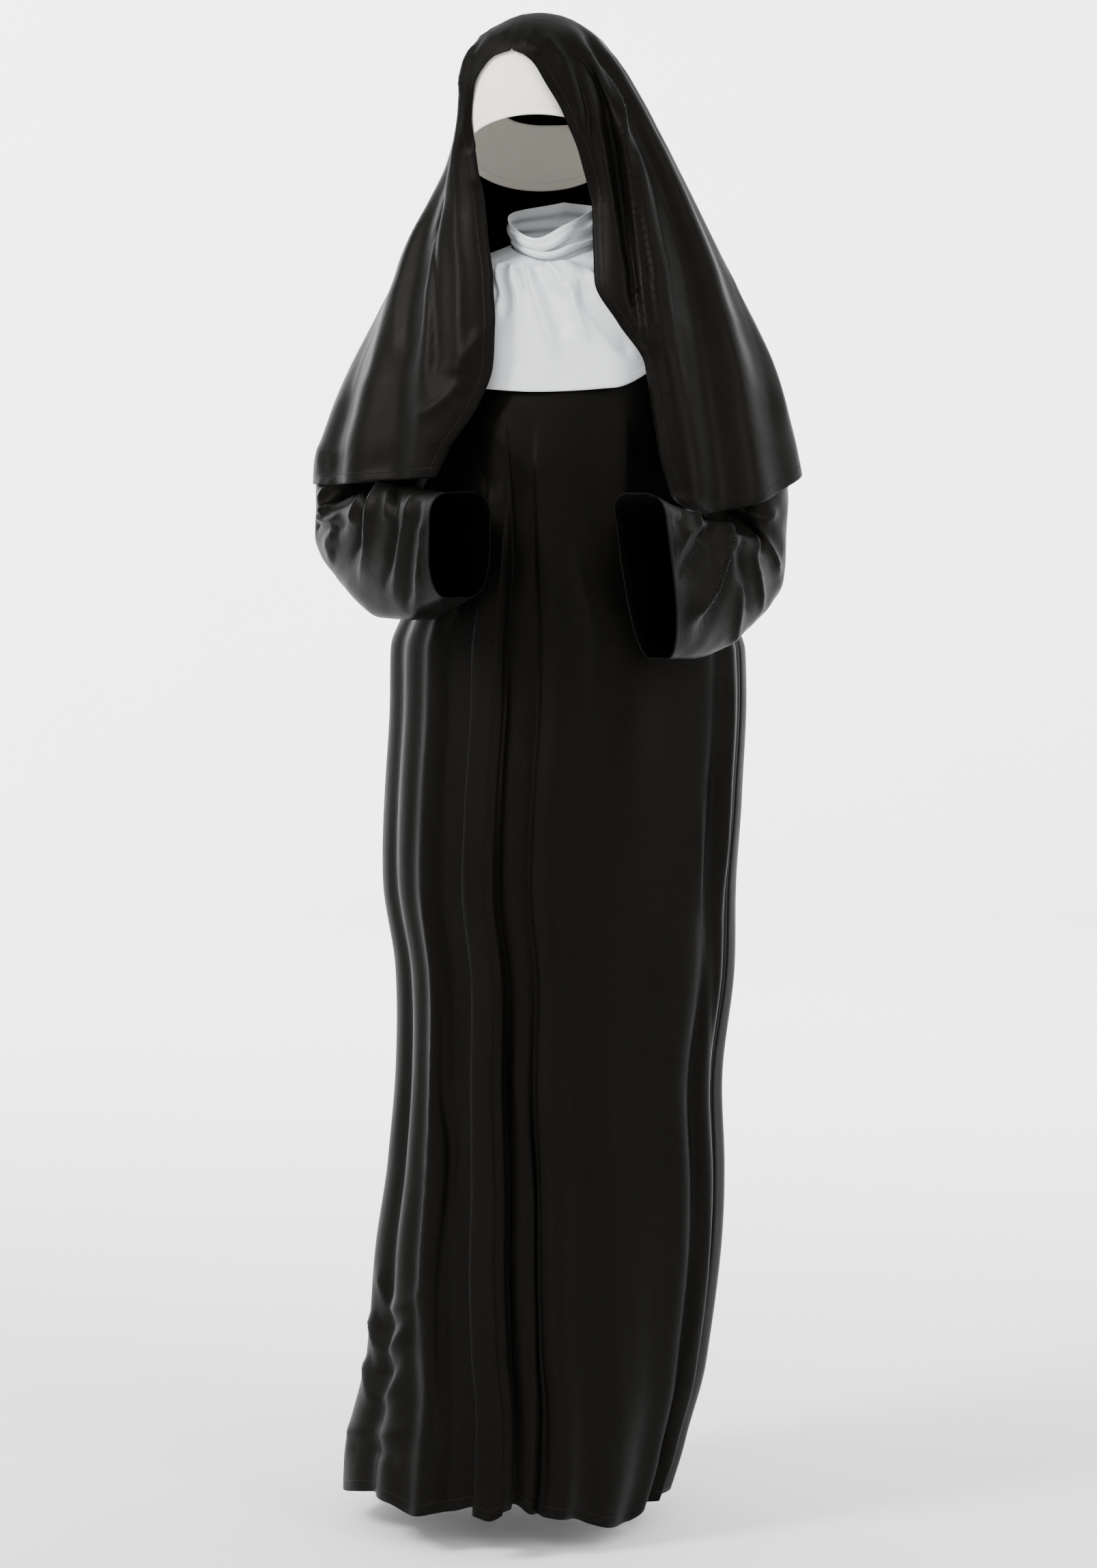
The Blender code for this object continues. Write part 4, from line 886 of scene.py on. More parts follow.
# %% Black satin, white satin and cream jersey
def satin(name, dark, light, pitch, hem, roughness, sheen, sheen_tint, shine):
    material, shader = new_material(name, dark)
    place = attribute_node(material, "place").outputs["Vector"]
    patches = noise(material, stretched(material, place, (1.0, 0.35, 1.0)), scale=18.0, detail=4.0)
    tinted(material, shader, patches, dark, light)
    rough = ramp(material, patches, 0.3, 0.7, roughness - 0.03, roughness + 0.05)
    wire(material, rough, shader.inputs["Roughness"])
    shader.inputs["Sheen Weight"].default_value = sheen
    shader.inputs["Sheen Roughness"].default_value = 0.35
    shader.inputs["Sheen Tint"].default_value = (*sheen_tint, 1.0)
    shader.inputs["Specular IOR Level"].default_value = shine
    shader.inputs["Specular Tint"].default_value = (1.0, 0.96, 0.90, 1.0)
    lines = threads(material, place, pitch, slant=1.05)
    fine = bumped(material, shader, lines, strength=0.25, distance=0.00006)
    uneven = noise(material, stretched(material, place, (1.0, 0.22, 1.0)), scale=120.0, detail=2.0)
    soft = bumped(material, shader, uneven, strength=0.35, distance=0.0007, below=fine)
    turned = hem_relief(material, hem)
    bumped(material, shader, turned, strength=0.5, distance=0.0007, below=soft)
    return material


def jersey(name, dark, light, pitch, hem):
    """Knitted cloth: columns of small loops, matt, with a soft edge to its shading."""
    material, shader = new_material(name, dark)
    place = attribute_node(material, "place").outputs["Vector"]
    columns = threads(material, place, pitch, slant=0.0)
    courses = threads(material, place, pitch * 0.8, slant=1.5708)
    loops = math_node(material, "MULTIPLY", columns, courses)
    tinted(material, shader, noise(material, place, 40.0), dark, light)
    shader.inputs["Roughness"].default_value = 0.82
    shader.inputs["Sheen Weight"].default_value = 0.25
    shader.inputs["Sheen Roughness"].default_value = 0.5
    shader.inputs["Subsurface Weight"].default_value = 0.06
    shader.inputs["Subsurface Radius"].default_value = (0.004, 0.003, 0.002)
    fine = bumped(material, shader, loops, strength=0.5, distance=0.00025)
    bumped(material, shader, hem_relief(material, hem), strength=0.8, distance=0.0009, below=fine)
    return material


HEM, SMALL_HEM = 0.012, 0.010      # how far the stitches lie from an edge of the black and the white
black_satin = satin("black_satin", (0.0012, 0.0011, 0.0009), (0.0022, 0.0020, 0.0017),
                    pitch=0.00055, hem=HEM, roughness=0.44, sheen=0.006,
                    sheen_tint=(0.62, 0.60, 0.56), shine=0.05)
white_satin = satin("white_satin", (0.52, 0.54, 0.56), (0.58, 0.595, 0.615),
                    pitch=0.0006, hem=SMALL_HEM, roughness=0.42, sheen=0.05,
                    sheen_tint=(0.95, 0.96, 1.0), shine=0.45)
cream_jersey = jersey("cream_jersey", (0.83, 0.79, 0.68), (0.87, 0.84, 0.74),
                      pitch=0.0011, hem=SMALL_HEM)
print("materials:", black_satin.name, white_satin.name, cream_jersey.name)

# %% [markdown]
# ## The gown's two panels
# The gown is cut as a front and a back panel, sewn at the shoulders and down both sides. Both are
# read from the one form above, each over its own angles, so the seams meet all the way down. Where
# a pleat turns, the columns stand closer, because a sharp edge needs more points than a flat stretch.

# %% Columns of the gown
CLOSE = (-3, -2.2, -1.5, -0.9, -0.45, 0, 0.45, 0.9, 1.5, 2.2, 3)


def stations(low, high, step, edges=()):
    """Angles from low to high, a step apart, closer beside each pleat edge (angle, softness)."""
    marks = [low, high]
    for edge, soft in edges:
        marks += [edge + soft * k for k in CLOSE]
    marks = sorted(marks)
    filled = []
    for a, b in zip(marks, marks[1:]):
        count = max(1, round((b - a) / step))
        filled += list(np.linspace(a, b, count, endpoint=False))
    return np.array(filled + [high])


def gown_place(angle, z):
    """A point of the gown at an angle and a height."""
    return gown_point(angle, SHOULDER_WAY - z)


front_edges = [(-32.5, 0.9), (-20.0, 0.7), (-10.5, 0.5)]
back_edges = [(170.0, 0.9), (181.5, 0.7)]
front_angles = stations(-SIDE, SIDE, 1.15, front_edges)
back_angles = stations(SIDE, 360 - SIDE, 1.5, back_edges)
FRONT_ROWS, BACK_ROWS = ((245, 200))
print(len(front_angles), "columns in front,", len(back_angles), "at the back")

# %% [markdown]
# ## Creases of the gown
# Long folds fall from the chest beside the pleat. Low on the left the cloth is too long for its
# place, and sags in short wrinkles above the hem. The back doesn't show in the photo, so its folds
# are guessed. Creases fade out beside the side seams, where two layers of cloth make the edge stiff.

# %% Creases of the gown
GOWN_CREASES = (
    # sagging wrinkles above the hem, left of the front
    Crease(0.0046, 0.006, 0.009, ((-73, -1.148), (-68, -1.16), (-63, -1.182), (-51, -1.178),
           (-43, -1.164), (-37, -1.147))),
    Crease(-0.0034, 0.007, 0.008, ((-73, -1.178), (-65, -1.208), (-55, -1.2), (-45, -1.178))),
    Crease(0.0052, 0.006, 0.01, ((-77, -1.198), (-73, -1.212), (-67, -1.231), (-59, -1.232),
           (-49, -1.207), (-42, -1.177))),
    Crease(-0.0034, 0.007, 0.008, ((-76, -1.23), (-67, -1.26), (-57, -1.252), (-47, -1.222))),
    Crease(0.0052, 0.006, 0.01, ((-78, -1.251), (-73, -1.265), (-65, -1.288), (-56, -1.278),
           (-48, -1.243))),
    Crease(0.0044, 0.006, 0.01, ((-78, -1.334), (-72, -1.33), (-62, -1.322), (-51, -1.315),
           (-43, -1.295))),
    Crease(-0.004, 0.006, 0.008, ((-74, -1.35), (-64, -1.341), (-52, -1.336), (-44, -1.344))),
    # the broad panel and the folds beside the pleat
    Crease(0.0032, 0.006, 0.006, ((-3, -0.8), (-5, -0.898), (-2, -0.983), (0, -1.079), (0, -1.183),
           (2, -1.32))),
    Crease(0.002, 0.01, 0.012, ((20, -0.62), (21, -0.95), (23, -1.2))),
    Crease(-0.0016, 0.014, 0.014, ((30, -0.75), (33, -1.05), (36, -1.34))),
    Crease(0.0018, 0.016, 0.014, ((44, -0.6), (46, -0.95), (50, -1.3))),
    Crease(0.0034, 0.006, 0.008, ((61, -0.58), (63, -0.662), (69, -0.771), (74, -0.896), (74, -1.016),
           (76, -1.12))),
    Crease(-0.0034, 0.006, 0.007, ((69, -0.53), (70, -0.6), (73, -0.694), (75, -0.814), (80, -0.93))),
    Crease(0.0034, 0.006, 0.008, ((75, -0.44), (76, -0.5), (77, -0.6), (80, -0.74))),
    Crease(0.0035, 0.006, 0.01, ((70, -1.08), (74, -1.19), (72, -1.3), (76, -1.38))),
    Crease(0.0036, 0.005, 0.006, ((-37, -0.68), (-37, -0.833), (-39, -1.077), (-41, -1.28))),
    Crease(-0.004, 0.005, 0.005, ((-34, -0.78), (-34, -0.9), (-32, -1.002), (-33, -1.193),
           (-33, -1.34))),
    Crease(0.001, 0.014, 0.012, ((-47, -0.5), (-47, -0.8), (-48, -1.05))),
    Crease(-0.0012, 0.012, 0.014, ((-56, -0.66), (-57, -0.86), (-59, -1.1))),
    Crease(0.001, 0.014, 0.016, ((-66, -0.56), (-67, -0.8), (-70, -1.06))),
    # across the waist and the chest
    Crease(0.003, 0.01, 0.013, ((-25, -0.16), (-15, -0.194), (-4, -0.224), (4, -0.262))),
    Crease(0.003, 0.009, 0.012, ((-17, -0.16), (-8, -0.19), (0, -0.218), (8, -0.246))),
    Crease(-0.0026, 0.01, 0.012, ((-38, -0.172), (-27, -0.214), (-16, -0.27))),
    Crease(0.003, 0.01, 0.01, ((36, -0.165), (40, -0.24), (38, -0.32))),
    Crease(-0.003, 0.008, 0.01, ((46, -0.18), (49, -0.25), (46, -0.33))),
    Crease(0.003, 0.006, 0.01, ((18, -0.3), (20, -0.4), (18, -0.52))),
    # the back (guessed), between the shoulders and over the waist
    Crease(0.003, 0.01, 0.016, ((128, -0.06), (146, -0.16), (160, -0.27))),
    Crease(0.003, 0.016, 0.01, ((-128, -0.06), (-148, -0.17), (-163, -0.28))),
    Crease(0.0028, 0.009, 0.013, ((112, -0.3), (138, -0.35), (168, -0.36))),
    Crease(-0.0025, 0.009, 0.012, ((-112, -0.31), (-136, -0.37), (-160, -0.385))),
    Crease(0.0032, 0.01, 0.014, ((150, -0.36), (152, -0.6), (146, -0.9), (150, -1.2))),
    Crease(0.003, 0.012, 0.009, ((-150, -0.4), (-147, -0.7), (-152, -1), (-149, -1.3))),
    Crease(0.0026, 0.009, 0.012, ((-100, -1.16), (-112, -1.21), (-126, -1.19))),
    Crease(0.0026, 0.009, 0.012, ((104, -1.22), (118, -1.26), (132, -1.23))),
    Crease(0.0035, 0.008, 0.012, ((160, -1.26), (176, -1.3), (192, -1.27))),
)


SEAM_CALM = 4.0         # degrees beside a side seam over which folds fade out
CALM_DOWN, CALM_REACH = 0.10, 0.05      # the neck edge is smooth down to here, and the way of change


def gown_grid(angles, rows, middle):
    """The fine grid of the panel round an angle, with its creases and swells."""
    grid = np.array([gown_point(angles, gown_down(angles, s)) for s in np.linspace(0, 1, rows)])
    normals = grid_normals(grid, False)
    out = crease_heights(grid, normals, GOWN_CREASES, gown_place)
    out += soft_waves(grid, 11, 14, 0.06, 0.18, 0.0009, 0.10)
    calm = ease((SHOULDER_WAY - CALM_DOWN - grid[..., 2]) / CALM_REACH)
    from_seam = ease((SIDE - np.abs(wrapped(angles - middle))) / SEAM_CALM)
    return grid + normals * (out * calm * from_seam)[..., None]


front_grid = gown_grid(front_angles, FRONT_ROWS, 0.0)
back_grid = gown_grid(back_angles, BACK_ROWS, 180.0)
print("the front panel is", len(front_grid), "rows of", front_grid.shape[1], "points")

# %% [markdown]
# ## Armholes
# The armhole is an oval on the gown. On a real gown it is cut out of both panels before the sleeve
# is sewn in. Here the faces inside the oval are left away, and the points just inside it are moved
# onto its edge, so the hole is round and not stepped. A Boolean would cut it too, but it would break
# up the tidy grid and with it the weave.

# %% Cutting the armholes
def armhole_share(angles, rows):
    """For every grid point: 1 on the armhole's edge, less inside it."""
    share = np.full((rows, len(angles)), np.inf)
    downs = np.array([gown_down(angles, s) for s in np.linspace(0, 1, rows)])
    for side in (-1, 1):
        across = wrapped(angles[None, :] - side * SIDE) / ARM_ANGLE
        share = np.minimum(share, np.hypot(across, (downs - ARM_DOWN) / ARM_HALF))
    return share, downs


def cut_armholes(grid, angles, rows):
    """Moves the first points inside each armhole onto its edge and says which faces stay."""
    share, downs = armhole_share(angles, rows)
    inside = share < 1.0
    padded = np.pad(inside, 1, mode="edge")
    all_in = np.ones_like(inside)
    for i in range(3):
        for j in range(3):
            all_in &= padded[i : i + inside.shape[0], j : j + inside.shape[1]]
    edge = inside & ~all_in
    for row, column in zip(*np.nonzero(edge)):
        side = 1 if abs(wrapped(angles[column] - SIDE)) < 90 else -1
        across = wrapped(angles[column] - side * SIDE) / ARM_ANGLE
        lengthwise = (downs[row, column] - ARM_DOWN) / ARM_HALF
        grow = 1.0 / np.hypot(across, lengthwise)
        angle = side * SIDE + across * grow * ARM_ANGLE
        grid[row, column] = gown_point(angle, ARM_DOWN + lengthwise * grow * ARM_HALF)
    corners = [inside[:-1, :-1], inside[1:, :-1], inside[1:, 1:], inside[:-1, 1:]]
    return ~(corners[0] & corners[1] & corners[2] & corners[3])


keep_front = cut_armholes(front_grid, front_angles, FRONT_ROWS)
keep_back = cut_armholes(back_grid, back_angles, BACK_ROWS)


gown_front = cloth("gown_front_cloth", front_grid, black_satin, keep=keep_front,
                   edge=from_row(front_grid, -1))
gown_back = cloth("gown_back_cloth", back_grid, black_satin, keep=keep_back,
                  edge=from_row(back_grid, -1))

# %% [markdown]
# ## Creases of the sleeves
# The bend of each elbow gathers the cloth on its inner side, and from there the folds run round the
# arm in nested arcs and hang down below it. The coordinates of a sleeve are the turn round it, 0 at
# its lowest line and 180 on top, and the way along it from the armhole to the cuff.

# %% Sewing the sleeves
RIGHT_CREASES = (
    # short folds that curl over the elbow
    Crease(0.006, 0.004, 0.008, ((200, 0.29), (208, 0.3), (222, 0.29), (240, 0.28), (272, 0.27),
           (290, 0.25))),
    Crease(-0.004, 0.005, 0.008, ((206, 0.28), (228, 0.265), (250, 0.245), (282, 0.22))),
    Crease(-0.005, 0.005, 0.007, ((204, 0.3), (220, 0.31), (240, 0.325), (262, 0.34))),
    Crease(0.006, 0.004, 0.006, ((192, 0.29), (202, 0.3), (218, 0.33), (232, 0.35), (244, 0.37),
           (252, 0.4))),
    Crease(0.004, 0.004, 0.005, ((206, 0.335), (218, 0.37), (232, 0.41), (244, 0.43), (254, 0.43))),
    Crease(-0.006, 0.005, 0.007, ((202, 0.5), (214, 0.55), (226, 0.54), (238, 0.47), (258, 0.44))),
    Crease(0.004, 0.004, 0.005, ((264, 0.41), (264, 0.46), (250, 0.53))),
    Crease(-0.0045, 0.007, 0.007, ((286, 0.42), (272, 0.45), (268, 0.53), (254, 0.58))),
    Crease(0.005, 0.012, 0.014, ((268, 0.52), (284, 0.5), (298, 0.53))),
    # long folds from the crook round the forearm
    Crease(0.005, 0.006, 0.006, ((202, 0.54), (214, 0.6), (230, 0.615), (248, 0.605), (266, 0.6))),
    Crease(-0.0085, 0.005, 0.006, ((192, 0.44), (206, 0.56), (226, 0.645), (250, 0.665), (270, 0.66),
           (296, 0.6))),
    Crease(0.0095, 0.006, 0.011, ((190, 0.5), (206, 0.63), (226, 0.7), (252, 0.71), (278, 0.7),
           (304, 0.65))),
    Crease(0.0035, 0.005, 0.006, ((200, 0.71), (218, 0.75), (238, 0.785), (260, 0.79))),
    Crease(-0.007, 0.006, 0.008, ((194, 0.66), (210, 0.76), (232, 0.815), (258, 0.83), (286, 0.82),
           (312, 0.75))),
    Crease(0.0045, 0.006, 0.008, ((204, 0.82), (226, 0.885), (246, 0.89), (268, 0.875), (292, 0.85),
           (320, 0.8))),
    Crease(-0.0045, 0.005, 0.007, ((222, 0.94), (250, 0.935), (278, 0.915), (306, 0.89), (326, 0.84))),
    Crease(0.0045, 0.006, 0.008, ((244, 0.985), (272, 0.965), (296, 0.955), (312, 0.93), (328, 0.88),
           (342, 0.8))),
    # the upper arm and the side that faces the gown
    Crease(0.004, 0.008, 0.012, ((300, 0.08), (270, 0.13), (240, 0.2), (214, 0.25))),
    Crease(0.0045, 0.008, 0.01, ((30, 0.44), (70, 0.4), (110, 0.36), (150, 0.29))),
    Crease(-0.005, 0.006, 0.009, ((28, 0.52), (68, 0.48), (108, 0.43), (150, 0.32))),
    Crease(0.005, 0.008, 0.011, ((16, 0.62), (56, 0.61), (100, 0.56), (144, 0.42))),
    Crease(0.005, 0.007, 0.01, ((50, 0.72), (54, 0.8), (62, 0.85), (74, 0.85))),
    Crease(-0.0045, 0.007, 0.009, ((20, 0.74), (58, 0.73), (100, 0.7))),
)
LEFT_CREASES = (
    # folds that start at the crook and hang round the forearm
    Crease(0.005, 0.005, 0.008, ((214, 0.36), (228, 0.38), (244, 0.39), (264, 0.38), (284, 0.35))),
    Crease(-0.0075, 0.006, 0.008, ((196, 0.36), (210, 0.4), (228, 0.44), (248, 0.5), (268, 0.56))),
    Crease(0.005, 0.005, 0.006, ((226, 0.4), (244, 0.43), (262, 0.47), (282, 0.49), (302, 0.51))),
    Crease(0.0055, 0.005, 0.007, ((218, 0.48), (238, 0.53), (258, 0.57), (280, 0.6), (304, 0.6),
           (322, 0.58))),
    Crease(-0.006, 0.007, 0.008, ((222, 0.58), (244, 0.62), (266, 0.65), (288, 0.67), (310, 0.67))),
    Crease(-0.0095, 0.006, 0.008, ((214, 0.62), (236, 0.66), (260, 0.69), (280, 0.73), (294, 0.79),
           (304, 0.86), (312, 0.94))),
    Crease(0.013, 0.008, 0.009, ((206, 0.62), (226, 0.69), (248, 0.73), (269, 0.75), (280, 0.78),
           (289, 0.82), (297, 0.87), (304, 0.93), (310, 0.99))),
    Crease(-0.0105, 0.007, 0.008, ((206, 0.72), (228, 0.77), (252, 0.8), (268, 0.83), (280, 0.88),
           (289, 0.94), (296, 0.99))),
    Crease(0.0065, 0.005, 0.007, ((208, 0.8), (230, 0.84), (250, 0.86), (264, 0.89), (275, 0.94),
           (283, 0.99))),
    Crease(-0.004, 0.005, 0.006, ((214, 0.88), (236, 0.905), (254, 0.93), (266, 0.97))),
    Crease(0.0045, 0.006, 0.01, ((284, 0.66), (298, 0.7), (314, 0.72), (332, 0.71))),
    # the side of the forearm that faces the gown
    Crease(0.0055, 0.005, 0.008, ((140, 0.88), (122, 0.84), (100, 0.83), (80, 0.84), (64, 0.82),
           (50, 0.78))),
    Crease(0.006, 0.004, 0.006, ((142, 0.87), (124, 0.79), (106, 0.74))),
    Crease(0.005, 0.006, 0.008, ((114, 0.71), (98, 0.73), (80, 0.75), (68, 0.78), (56, 0.83),
           (42, 0.88))),
    Crease(-0.0045, 0.006, 0.009, ((150, 0.34), (110, 0.46), (64, 0.52), (20, 0.55))),
    Crease(0.0055, 0.007, 0.01, ((150, 0.32), (104, 0.41), (58, 0.45), (16, 0.49))),
    Crease(0.0055, 0.008, 0.012, ((140, 0.52), (96, 0.6), (50, 0.66), (12, 0.7))),
    Crease(0.0045, 0.008, 0.01, ((300, 0.1), (262, 0.17), (232, 0.24))),
)
SLEEVE_TURNS = np.arange(0, 360, 2.5)
SLEEVE_ALONGS = np.linspace(0.0, 1.0, 165)


def sleeve_grid(side, creases):
    """A sleeve's outer face with its folds."""
    points = sleeve_point(side, SLEEVE_TURNS, SLEEVE_ALONGS)
    normals = grid_normals(points, True)

    def place(turn, along):
        whole = sleeve_point(side, np.append(SLEEVE_TURNS, 360.0), along)
        rows = np.arange(len(along))
        column = (np.asarray(turn) % 360.0) / 360.0 * len(SLEEVE_TURNS)
        low = np.floor(column).astype(int)
        share = (column - low)[:, None]
        high = np.minimum(low + 1, len(SLEEVE_TURNS))
        return whole[rows, low] * (1 - share) + whole[rows, high] * share

    out = crease_heights(points, normals, creases, place, (0.7, 1.25))
    out += soft_waves(points, 23 + side, 12, 0.03, 0.09, 0.0007, 0.6)
    fade = ease(SLEEVE_ALONGS / 0.08) * (0.45 + 0.55 * ease((1 - SLEEVE_ALONGS) / 0.05))
    return points + normals * (out * fade[:, None])[..., None]


sleeve_grids = {-1: sleeve_grid(-1, RIGHT_CREASES), 1: sleeve_grid(1, LEFT_CREASES)}
sleeve_right = cloth("sleeve_right_cloth", sleeve_grids[-1], black_satin, closed=True,
                     edge=from_row(sleeve_grids[-1], -1))
sleeve_left = cloth("sleeve_left_cloth", sleeve_grids[1], black_satin, closed=True,
                    edge=from_row(sleeve_grids[1], -1))

# %% [markdown]
# ## The bib and the neck band
# The bib is white satin, cooler and finer than the headband. Soft drapes fan out from the neck,
# because the band pulls the cloth together there. The neck band is folded over and has slumped into
# a few level rolls with a small V in front.

# %% Sewing the white pieces
BIB_CREASES = (
    # narrow folds close together below the band, on the left
    Crease(-0.0065, 0.003, 0.003, ((-34, 0.24), (-28, 0.35), (-18, 0.51), (-15, 0.62))),
    Crease(0.0059, 0.003, 0.003, ((-31, 0.25), (-24, 0.36), (-16, 0.54), (-13, 0.7))),
    Crease(-0.0084, 0.003, 0.004, ((-27, 0.24), (-20, 0.37), (-13, 0.55), (-11, 0.68))),
    Crease(0.0065, 0.004, 0.004, ((-21, 0.24), (-14, 0.37), (-8, 0.54), (-5, 0.7))),
    Crease(-0.0065, 0.003, 0.004, ((-15, 0.24), (-8, 0.39), (-4, 0.53))),
    # long drapes that fan out over the chest
    Crease(0.0084, 0.005, 0.006, ((-11, 0.22), (-5, 0.37), (-1, 0.54), (5, 0.74), (9, 0.88))),
    Crease(-0.0078, 0.004, 0.006, ((-5, 0.24), (1, 0.42), (5, 0.6), (10, 0.8))),
    Crease(0.0065, 0.005, 0.005, ((3, 0.22), (8, 0.3), (11, 0.43), (11, 0.58))),
    Crease(0.0078, 0.003, 0.003, ((14, 0.4), (14, 0.6), (16, 0.7), (20, 0.8))),
    Crease(-0.0091, 0.004, 0.006, ((19, 0.38), (18, 0.58), (22, 0.68), (28, 0.77), (36, 0.88))),
    Crease(0.0078, 0.006, 0.006, ((28, 0.3), (25, 0.5), (28, 0.64), (35, 0.76))),
    Crease(-0.0065, 0.005, 0.006, ((36, 0.28), (34, 0.48), (40, 0.66))),
    Crease(0.005, 0.006, 0.01, ((-58, 0.23), (-54, 0.42), (-50, 0.62), (-52, 0.8))),
    Crease(0.0044, 0.008, 0.012, ((70, 0.26), (74, 0.5), (80, 0.74))),
    Crease(0.0044, 0.008, 0.012, ((128, 0.26), (136, 0.5), (140, 0.78))),
    Crease(0.0044, 0.008, 0.012, ((166, 0.26), (172, 0.5), (178, 0.8))),
    Crease(0.0044, 0.008, 0.012, ((-148, 0.26), (-152, 0.52), (-158, 0.8))),
)
BIB_STEP = 0.8
BIB_ROUND = np.concatenate([np.arange(-180.0, -46.0, 3.0), np.arange(-45.0, 50.0, BIB_STEP),
                            np.arange(52.0, 180.0, 3.0)])
ROUND = np.arange(0, 360, 2.0) - 180.0
BIB_SHARES = np.linspace(0.0, 1.0, 84)


def bib_place(angle, share):
    """Points of the bib at angles and shares of the way to its edge."""
    return np.array([bib_grid(np.array([a]), [s])[0, 0] for a, s in zip(angle, share)])


bib = bib_grid(BIB_ROUND, BIB_SHARES)
bib_normals = grid_normals(bib, True)
bib_out = crease_heights(bib, bib_normals, BIB_CREASES, bib_place)
bib_out += soft_waves(bib, 5, 10, 0.03, 0.08, 0.0009, 0.5)
bib_calm = ease((BIB_SHARES - 0.14) / 0.14) * (0.35 + 0.65 * ease((1 - BIB_SHARES) / 0.12))
BIB_VALLEY = -0.0036    # as deep as a crease may go before the cloth would touch the gown
bib = bib + bib_normals * (np.maximum(bib_out, BIB_VALLEY) * bib_calm[:, None])[..., None]


collar_bib = cloth("collar_bib_cloth", bib, white_satin, closed=True, edge=from_row(bib, -1))

NECK_CREASES = (
    Crease(0.0052, 0.004, 0.008, ((-72, 0.92), (-40, 0.76), (-6, 0.6), (26, 0.7), (62, 0.9))),
    Crease(-0.004, 0.0035, 0.0045, ((-66, 0.74), (-34, 0.58), (-6, 0.45), (24, 0.54), (56, 0.7))),
    Crease(0.0044, 0.004, 0.007, ((-72, 0.56), (-38, 0.42), (-8, 0.3), (22, 0.37), (58, 0.54))),
    Crease(0.0034, 0.004, 0.006, ((-100, 0.74), (-74, 0.64), (-46, 0.52))),
    Crease(0.0034, 0.004, 0.006, ((58, 0.62), (88, 0.74), (122, 0.68))),
    Crease(0.0034, 0.004, 0.006, ((140, 0.5), (170, 0.64), (198, 0.54))),
    Crease(-0.0028, 0.003, 0.004, ((-104, 0.56), (-80, 0.48), (-54, 0.4))),
)
NECK_UPS = np.linspace(0.0, 1.0, 44)
neck = np.array([neck_point(ROUND, up) for up in NECK_UPS])
neck_normals = grid_normals(neck, True)
neck_out = crease_heights(neck, neck_normals, NECK_CREASES, neck_point)
neck_fade = ease(NECK_UPS / 0.3) * ease((1 - NECK_UPS) / 0.08)
neck = neck + neck_normals * (neck_out * neck_fade[:, None])[..., None]
neck_band = cloth("neck_band_cloth", neck, white_satin, closed=True)

# %% [markdown]
# ## The headband
# The headband is knitted, matt and cream, and lies smooth on the forehead. Its lower edge is turned
# and stitched. Only its front shows, but it runs all round the head, because that is what holds the
# veil up.

# %% Sewing the headband
BAND_UPS = np.linspace(0.0, 1.0, 34)
band = np.array([band_point(ROUND, up) for up in BAND_UPS])
band_normals = grid_normals(band, True)
band_out = soft_waves(band, 3, 8, 0.04, 0.10, 0.0004, 0.5)
band = band + band_normals * np.minimum(band_out, 0.0)[..., None]
headband = cloth("headband_cloth", band, cream_jersey, closed=True, edge=from_row(band, 0))

# %% [markdown]
# ## The veil
# The veil falls from the crown over the shoulders and arms. First its free form is worked out, with
# all folds. Then it is rested on what lies under it: a ray from outside finds the cloth below each
# point, and wherever the veil would sink into it, the point moves out, and its neighbours with it.
# A cloth simulation would find that contact too, but it would also let the folds slide away.

# %% Resting cloth on cloth
def merged(values, merge):
    """Each value merged with the eight round it."""
    padded = np.pad(values, 1, mode="edge")
    rows, columns = values.shape
    return merge([padded[i : i + rows, j : j + columns] for i in range(3) for j in range(3)])


def tree_of(grids):
    """A search tree over several grids (closed ones are given with their first column repeated)."""
    verts = []
    faces = []
    for points in grids:
        rows, columns = points.shape[:2]
        faces.append(grid_faces(rows, columns, False).reshape(-1, 4) + sum(len(v) for v in verts))
        verts.append(points.reshape(-1, 3))
    return BVHTree.FromPolygons(np.concatenate(verts).tolist(), np.concatenate(faces).tolist())


def closed_up(points):
    """A ring grid with its first column repeated at the end."""
    return np.concatenate([points, points[:, :1]], axis=1)


def rest_on(grid, tree, gap, reach=0.045, smooth=10):
    """Moves each point out from the upright axis until it clears the cloth under it by a gap."""
    ways = grid * np.array([1.0, 1.0, 0.0])
    ways = ways / np.linalg.norm(ways, axis=2, keepdims=True)
    push = np.zeros(grid.shape[:2])
    for r in range(grid.shape[0]):
        for k in range(grid.shape[1]):
            hit = tree.ray_cast(Vector(grid[r, k] + ways[r, k] * reach), Vector(-ways[r, k]), 2 * reach)
            if hit[0] is not None:
                push[r, k] = max(0.0, reach - hit[3] + gap)
    for _ in range(2):
        push = merged(push, np.maximum.reduce)
    wide = push
    for _ in range(smooth):
        wide = np.maximum(merged(wide, lambda near: sum(near) / len(near)), push)
    return grid + ways * wide[..., None]


print("cloth can now rest on cloth")

# %% [markdown]
# ## Creases of the veil
# Beside the face the veil is gathered into narrow folds that hang almost straight. Further out they
# are broad and so soft that only a change in the shine shows them. At the hairline the cloth is
# pinched where it is sewn to the band, and the pinches run out over the crown.

